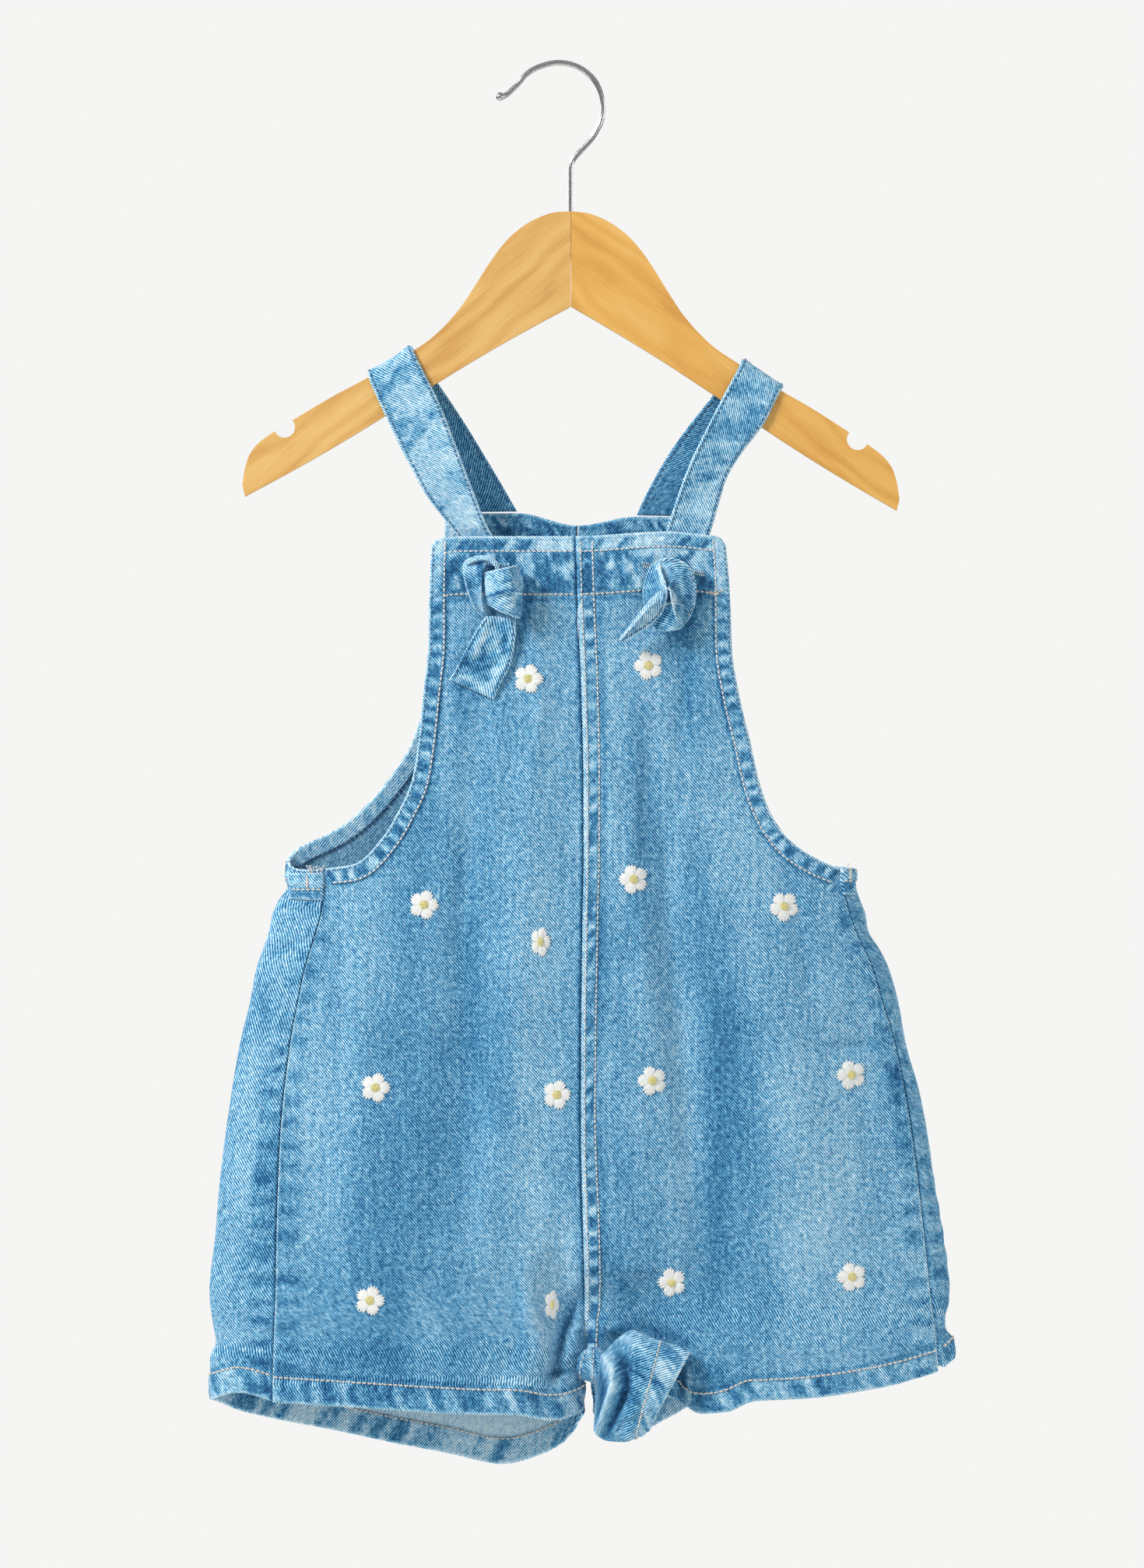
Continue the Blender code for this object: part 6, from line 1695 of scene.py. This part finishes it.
def make_roll():
    (x0, y0, d0), half, tilt = CROTCH_ROLL
    rings, sides = 40, 48
    j, k = np.meshgrid(np.arange(rings), np.arange(sides), indexing="ij")
    latitude = math.pi * (0.01 + 0.98 * j / (rings - 1))
    longitude = 2 * math.pi * k / sides
    power = 1 / 1.1

    def bulge(value):
        return np.copysign(np.abs(value) ** power, value)

    u = bulge(np.sin(latitude)) * bulge(np.cos(longitude)) * half[0]
    v = bulge(np.sin(latitude)) * bulge(np.sin(longitude)) * half[1]
    w = bulge(np.cos(latitude)) * half[2]
    swell = 1 + 0.12 * np.sin(3 * longitude + 2.2 * latitude) * np.sin(latitude)
    swell = swell - 0.10 * np.exp(-((u - 1.2) ** 2) / 0.8) * (v < 0)
    u, v = u * swell, v * swell
    cos, sin = math.cos(math.radians(tilt)), math.sin(math.radians(tilt))
    points = np.stack([x0 + u * cos + w * sin, y0 + v, -d0 - u * sin + w * cos], axis=-1)
    faces = ring_faces(rings, sides)
    faces.append(tuple(range(sides)))
    faces.append(tuple((rings - 1) * sides + b for b in range(sides)))
    flat = np.stack([longitude * 7 + 500, latitude * 8], axis=-1)
    wear_and_light = 0.3 * unit(noise2(longitude * 2, latitude * 4, 81))
    # Painted light on the left of the roll's front
    wear_and_light = np.maximum(wear_and_light, 0.6 * np.exp(-(((u + 0.9) / 1.3) ** 2)) * (v < 0))
    dark_and_shade = 0.5 * unit(noise2(longitude * 2 + 9, latitude * 4, 82)) + 0.1
    # Painted shade on the right of its front and at its two ends
    dark_and_shade = np.maximum(dark_and_shade, 0.8 * np.exp(-(((u - 1.4) / 0.9) ** 2)) * (v < 0))
    dark_and_shade = np.maximum(dark_and_shade, 0.8 * smooth((np.abs(u) - 5.0) / 2.0))
    traits = {"wear_and_light": wear_and_light, "dark_and_shade": dark_and_shade, "inside": 0 * wear_and_light}
    made = add_shell("crotch_roll_cloth", points.reshape(-1, 3), faces, flat.reshape(-1, 2),
                     traits, denim)
    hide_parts("crotch_roll")
    tree = mesh_tree(made)
    threads = Threads()
    for line in ROLL_STITCHES:
        line = smooth_stations([(x, y0, -drop) for x, drop in line], 8)
        toward = np.tile([0.0, -1.0, 0.0], (len(line), 1))
        sew(threads, line, toward, tree, radius=0.34, length=1.6)
    threads.finish("crotch_roll_stitches", "denim", light_thread)


make_roll()

# Daisies


def make_daisy(number, x, drop, turn, width):
    """Five petals of satin stitch round a yellow centre, on the front panels."""
    front = [trees["front_left"], trees["front_right"]]
    random = np.random.RandomState(900 + number)

    def surface(px, pz):
        for tree in front:
            hit = front_of(tree, px, -pz)
            if hit is not None:
                return hit[1]
        return None

    base = surface(x, -drop)
    white, yellow = Threads(), Threads()
    for petal in range(PETALS):
        for thread in range(PETAL_THREADS):
            offset = (thread - (PETAL_THREADS - 1) / 2) / ((PETAL_THREADS - 1) / 2)
            angle = math.radians(turn) + 2 * math.pi * (petal + 0.425 * offset) / PETALS
            reach = DAISY_RADIUS * (0.70 + 0.31 * math.cos(offset * 1.25) ** 0.8)
            reach *= 1 + (0.05 if thread % 2 else -0.04) + random.uniform(-0.03, 0.03)
            path = []
            for share in PETAL_SHARES:
                radius = reach * share
                px = x + radius * math.cos(angle) * width
                pz = -drop + radius * math.sin(angle)
                ground = surface(px, pz)
                ground = base if ground is None or abs(ground - base) > 6 else ground
                dome = 0.55 * math.sin(math.pi * min(share * 0.8 + 0.28, 1)) ** 0.6
                dome *= 0.6 + 0.4 * math.cos(offset * 1.2)
                path.append((px, ground - 0.22 - dome, pz))
            thick = 0.34 * (0.85 + 0.15 * width)
            white.tube(path, thick * PETAL_SWELL, 6)
    for ring, count, radius in CENTRE_RINGS:
        for k in range(count):
            angle = 2 * math.pi * (k + 0.3 * random.uniform(-1, 1)) / count
            inner, outer = max(ring - 0.7, 0), ring + 0.55
            path = []
            for share in (0, 0.3, 0.7, 1):
                radius_here = inner + (outer - inner) * share
                px = x + radius_here * math.cos(angle) * width
                pz = -drop + radius_here * math.sin(angle)
                lift = 1.15 + 0.25 * math.sin(math.pi * share) - 0.16 * radius_here
                path.append((px, base - lift, pz))
            yellow.tube(path, radius * np.array([0.5, 1, 1, 0.5]), 6)
    petals = white.finish(f"daisy_{number:02d}_petals", "daisy_thread", white_thread)
    yellow.finish(f"daisy_{number:02d}_centre", "daisy_thread", yellow_thread)
    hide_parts(f"daisy_{number:02d}")


for number, row in enumerate(DAISIES, 1):
    make_daisy(number, *row)

# Hanger and hook


def make_hanger_arm(side):
    sign = SIGN[side]
    spans = ((0, 60, 50), (61.5, 145, 60), (145.8, 154.4, 26))
    tops = np.concatenate([np.linspace(*span) for span in spans])
    outline = [(d, float(HANGER_TOP("drop", d))) for d in tops]
    x0, y0 = NOTCH_PLACE
    notch = [place for place in outline if math.hypot(place[0] - x0, place[1] - y0) < NOTCH_RADIUS]
    first = outline.index(notch[0])
    start, end = (
        math.atan2(y - y0, x - x0) for x, y in (outline[first - 1], outline[first + len(notch)])
    )
    if start < 0:
        start += 2 * math.pi
    if end > start:
        end -= 2 * math.pi
    arc = []
    for k in range(23):
        turn = start + (end - start) * k / 22
        arc.append((x0 + NOTCH_RADIUS * math.cos(turn), y0 + NOTCH_RADIUS * math.sin(turn)))
    outline = outline[:first] + arc + outline[first + len(notch) :]
    outline.append(HANGER_TIP)
    slope = (HANGER_TIP[1] - HANGER_APEX) / HANGER_TIP[0]
    for share in np.linspace(0.985, 0.0, 60):
        d = HANGER_TIP[0] * share
        outline.append((d, HANGER_APEX + slope * d - 1.2 * math.sin(2 * math.pi * share)))
    tilt = math.radians(HANGER_TILT)
    half = HANGER_THICK / 2
    flat = []
    for d, drop in outline:
        x = sign * max(d, 0.08)
        flat.append((STEM_X + x, -drop - math.tan(tilt) * x))
    points = [(x, -half, z) for x, z in flat] + [(x, half, z) for x, z in flat]
    count = len(flat)
    faces = [tuple(range(count)), tuple(range(2 * count - 1, count - 1, -1))]
    faces += rim_faces(list(range(count)), count)
    arm = add_shell(f"hanger_{side}_wood", points, faces, None, None, wood[side])
    bevel = arm.modifiers.new("rounding", "BEVEL")
    bevel.width = WOOD_ROUNDING * MM
    bevel.segments = 6
    bevel.limit_method = "ANGLE"
    bevel.angle_limit = math.radians(60)
    bpy.context.view_layer.objects.active = arm
    bpy.context.view_layer.update()
    depsgraph = bpy.context.evaluated_depsgraph_get()
    made = bpy.data.meshes.new_from_object(arm.evaluated_get(depsgraph))
    arm.modifiers.clear()
    arm.data = made
    layer = made.uv_layers.new(name="flat")
    grain = math.atan2(HANGER_TIP[1] - HANGER_TOP("drop", 0.0) - 18, HANGER_TIP[0])
    for polygon in made.polygons:
        flat_face = abs(polygon.normal.y) > 0.999
        polygon.use_smooth = not flat_face
        for loop in polygon.loop_indices:
            place = made.vertices[made.loops[loop].vertex_index].co / MM
            d, down = abs(place.x - STEM_X), -place.z
            along = d * math.cos(grain) + down * math.sin(grain)
            beside = down * math.cos(grain) - d * math.sin(grain)
            layer.data[loop].uv = (along * MM, (beside + 0.9 * place.y) * MM)
    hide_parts(f"hanger_{side}")


for side in SIGN:
    make_hanger_arm(side)


def make_hook():
    centre_z = WIRE - HOOK_RADIUS
    path = [(x, 0, z) for x, z in reversed(HOOK_NOSE)]
    for degrees in range(150, -21, -10):
        turn = math.radians(degrees)
        radius = HOOK_RADIUS + max(degrees - 110, 0) * 0.03
        path.append((radius * math.cos(turn), 0, centre_z + radius * math.sin(turn)))
    path += [(x, 0, z) for x, z in HOOK_SHANK]
    path.append((STEM_X, 0, -float(HANGER_TOP("drop", 0)) - STEM_HOLE_DEPTH + 1))
    path = smooth_stations(path, 6)
    nose = path[0]
    ball, radii = [], []
    for degrees in (172, 160, 145, 130, 115, 100, 85, 70, 55, 42):
        turn = math.radians(degrees)
        ball.append((nose[0] - 1.2 + BALL * math.cos(turn), 0, nose[2]))
        radii.append(BALL * math.sin(turn))
    keep = path[6:]
    threads = Threads()
    threads.tube(np.vstack([ball, keep]), np.concatenate([radii, np.full(len(keep), WIRE)]), 24)
    made = threads.finish("hook_wire", "hook_metal", chrome)
    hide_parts("hook")


make_hook()

# Stage, light and camera

FLOOR_HEIGHT = -0.96
LIT_PLACE = (0, 0, -0.38)
CAMERA_DISTANCE = 8.0
VIEW_HEIGHT = 0.7371  # metres that the picture's longer side takes in

bpy.ops.mesh.primitive_circle_add(vertices=96, radius=1.25, fill_type="NGON",
                                  location=(0, 0, FLOOR_HEIGHT))
floor = bpy.context.object
floor.name = "floor"
floor.data.materials.append(plaster_look())


def add_light(name, place, target, size, power):
    data = bpy.data.lights.new(name, "AREA")
    data.shape = "RECTANGLE"
    data.size, data.size_y = size
    data.energy = power
    lamp = bpy.data.objects.new(name, data)
    lamp.location = place
    bpy.context.scene.collection.objects.link(lamp)
    direction = Vector(target) - lamp.location
    lamp.rotation_euler = direction.to_track_quat("-Z", "Y").to_euler()


add_light("key", (-1.45, -1.05, 0.75), LIT_PLACE, (0.6, 0.6), 42)
add_light("fill", (1.6, -1.9, -0.2), LIT_PLACE, (1.4, 1.4), 7)
add_light("side", (2.0, -0.7, -0.3), (0.1, 0, -0.42), (1.0, 1.4), 7)
add_light("back_left", (-1.3, 1.5, 0.5), LIT_PLACE, (1.2, 1.2), 16)
add_light("back_right", (1.6, 1.3, 0.2), LIT_PLACE, (1.2, 1.2), 12)

world = bpy.data.worlds.new("studio")
bpy.context.scene.world = world
world.use_nodes = True
world.node_tree.nodes.clear()


def world_node(kind, *inputs):
    """A node of the world with its first inputs linked or set."""
    node = world.node_tree.nodes.new("ShaderNode" + kind)
    for socket, value in zip(node.inputs, inputs):
        if isinstance(value, bpy.types.NodeSocket):
            world.node_tree.links.new(value, socket)
        else:
            socket.default_value = value
    return node


# The camera sees an even wall; the light grows paler upwards
up = world_node("SeparateXYZ", world_node("TexCoord").outputs["Generated"]).outputs[2]
lean = world_node("Math", up, 0.5, 0.5)
lean.operation = "MULTIPLY_ADD"
level = world_node("ValToRGB", lean.outputs[0])
low, high = level.color_ramp.elements
low.position, low.color = 0.0, (0.50, 0.52, 0.55, 1)
high.position, high.color = 0.9, (0.95, 0.95, 0.94, 1)
lit = world_node("Background", level.outputs[0], 0.46)
seen = world_node("Background", (0.915, 0.915, 0.905, 1))
by_camera = world_node("LightPath").outputs["Is Camera Ray"]
choose = world_node("MixShader", by_camera, lit.outputs[0], seen.outputs[0])
world_node("OutputWorld", choose.outputs[0])
bpy.context.scene.view_settings.view_transform = "Standard"

camera_data = bpy.data.cameras.new("camera")
camera_data.sensor_width = 36
camera_data.lens = camera_data.sensor_width * CAMERA_DISTANCE / VIEW_HEIGHT
camera = bpy.data.objects.new("camera", camera_data)
camera.location = (0.00622, -CAMERA_DISTANCE, -0.3378)
camera.rotation_euler = (math.radians(90), 0, 0)
bpy.context.scene.collection.objects.link(camera)
bpy.context.scene.camera = camera
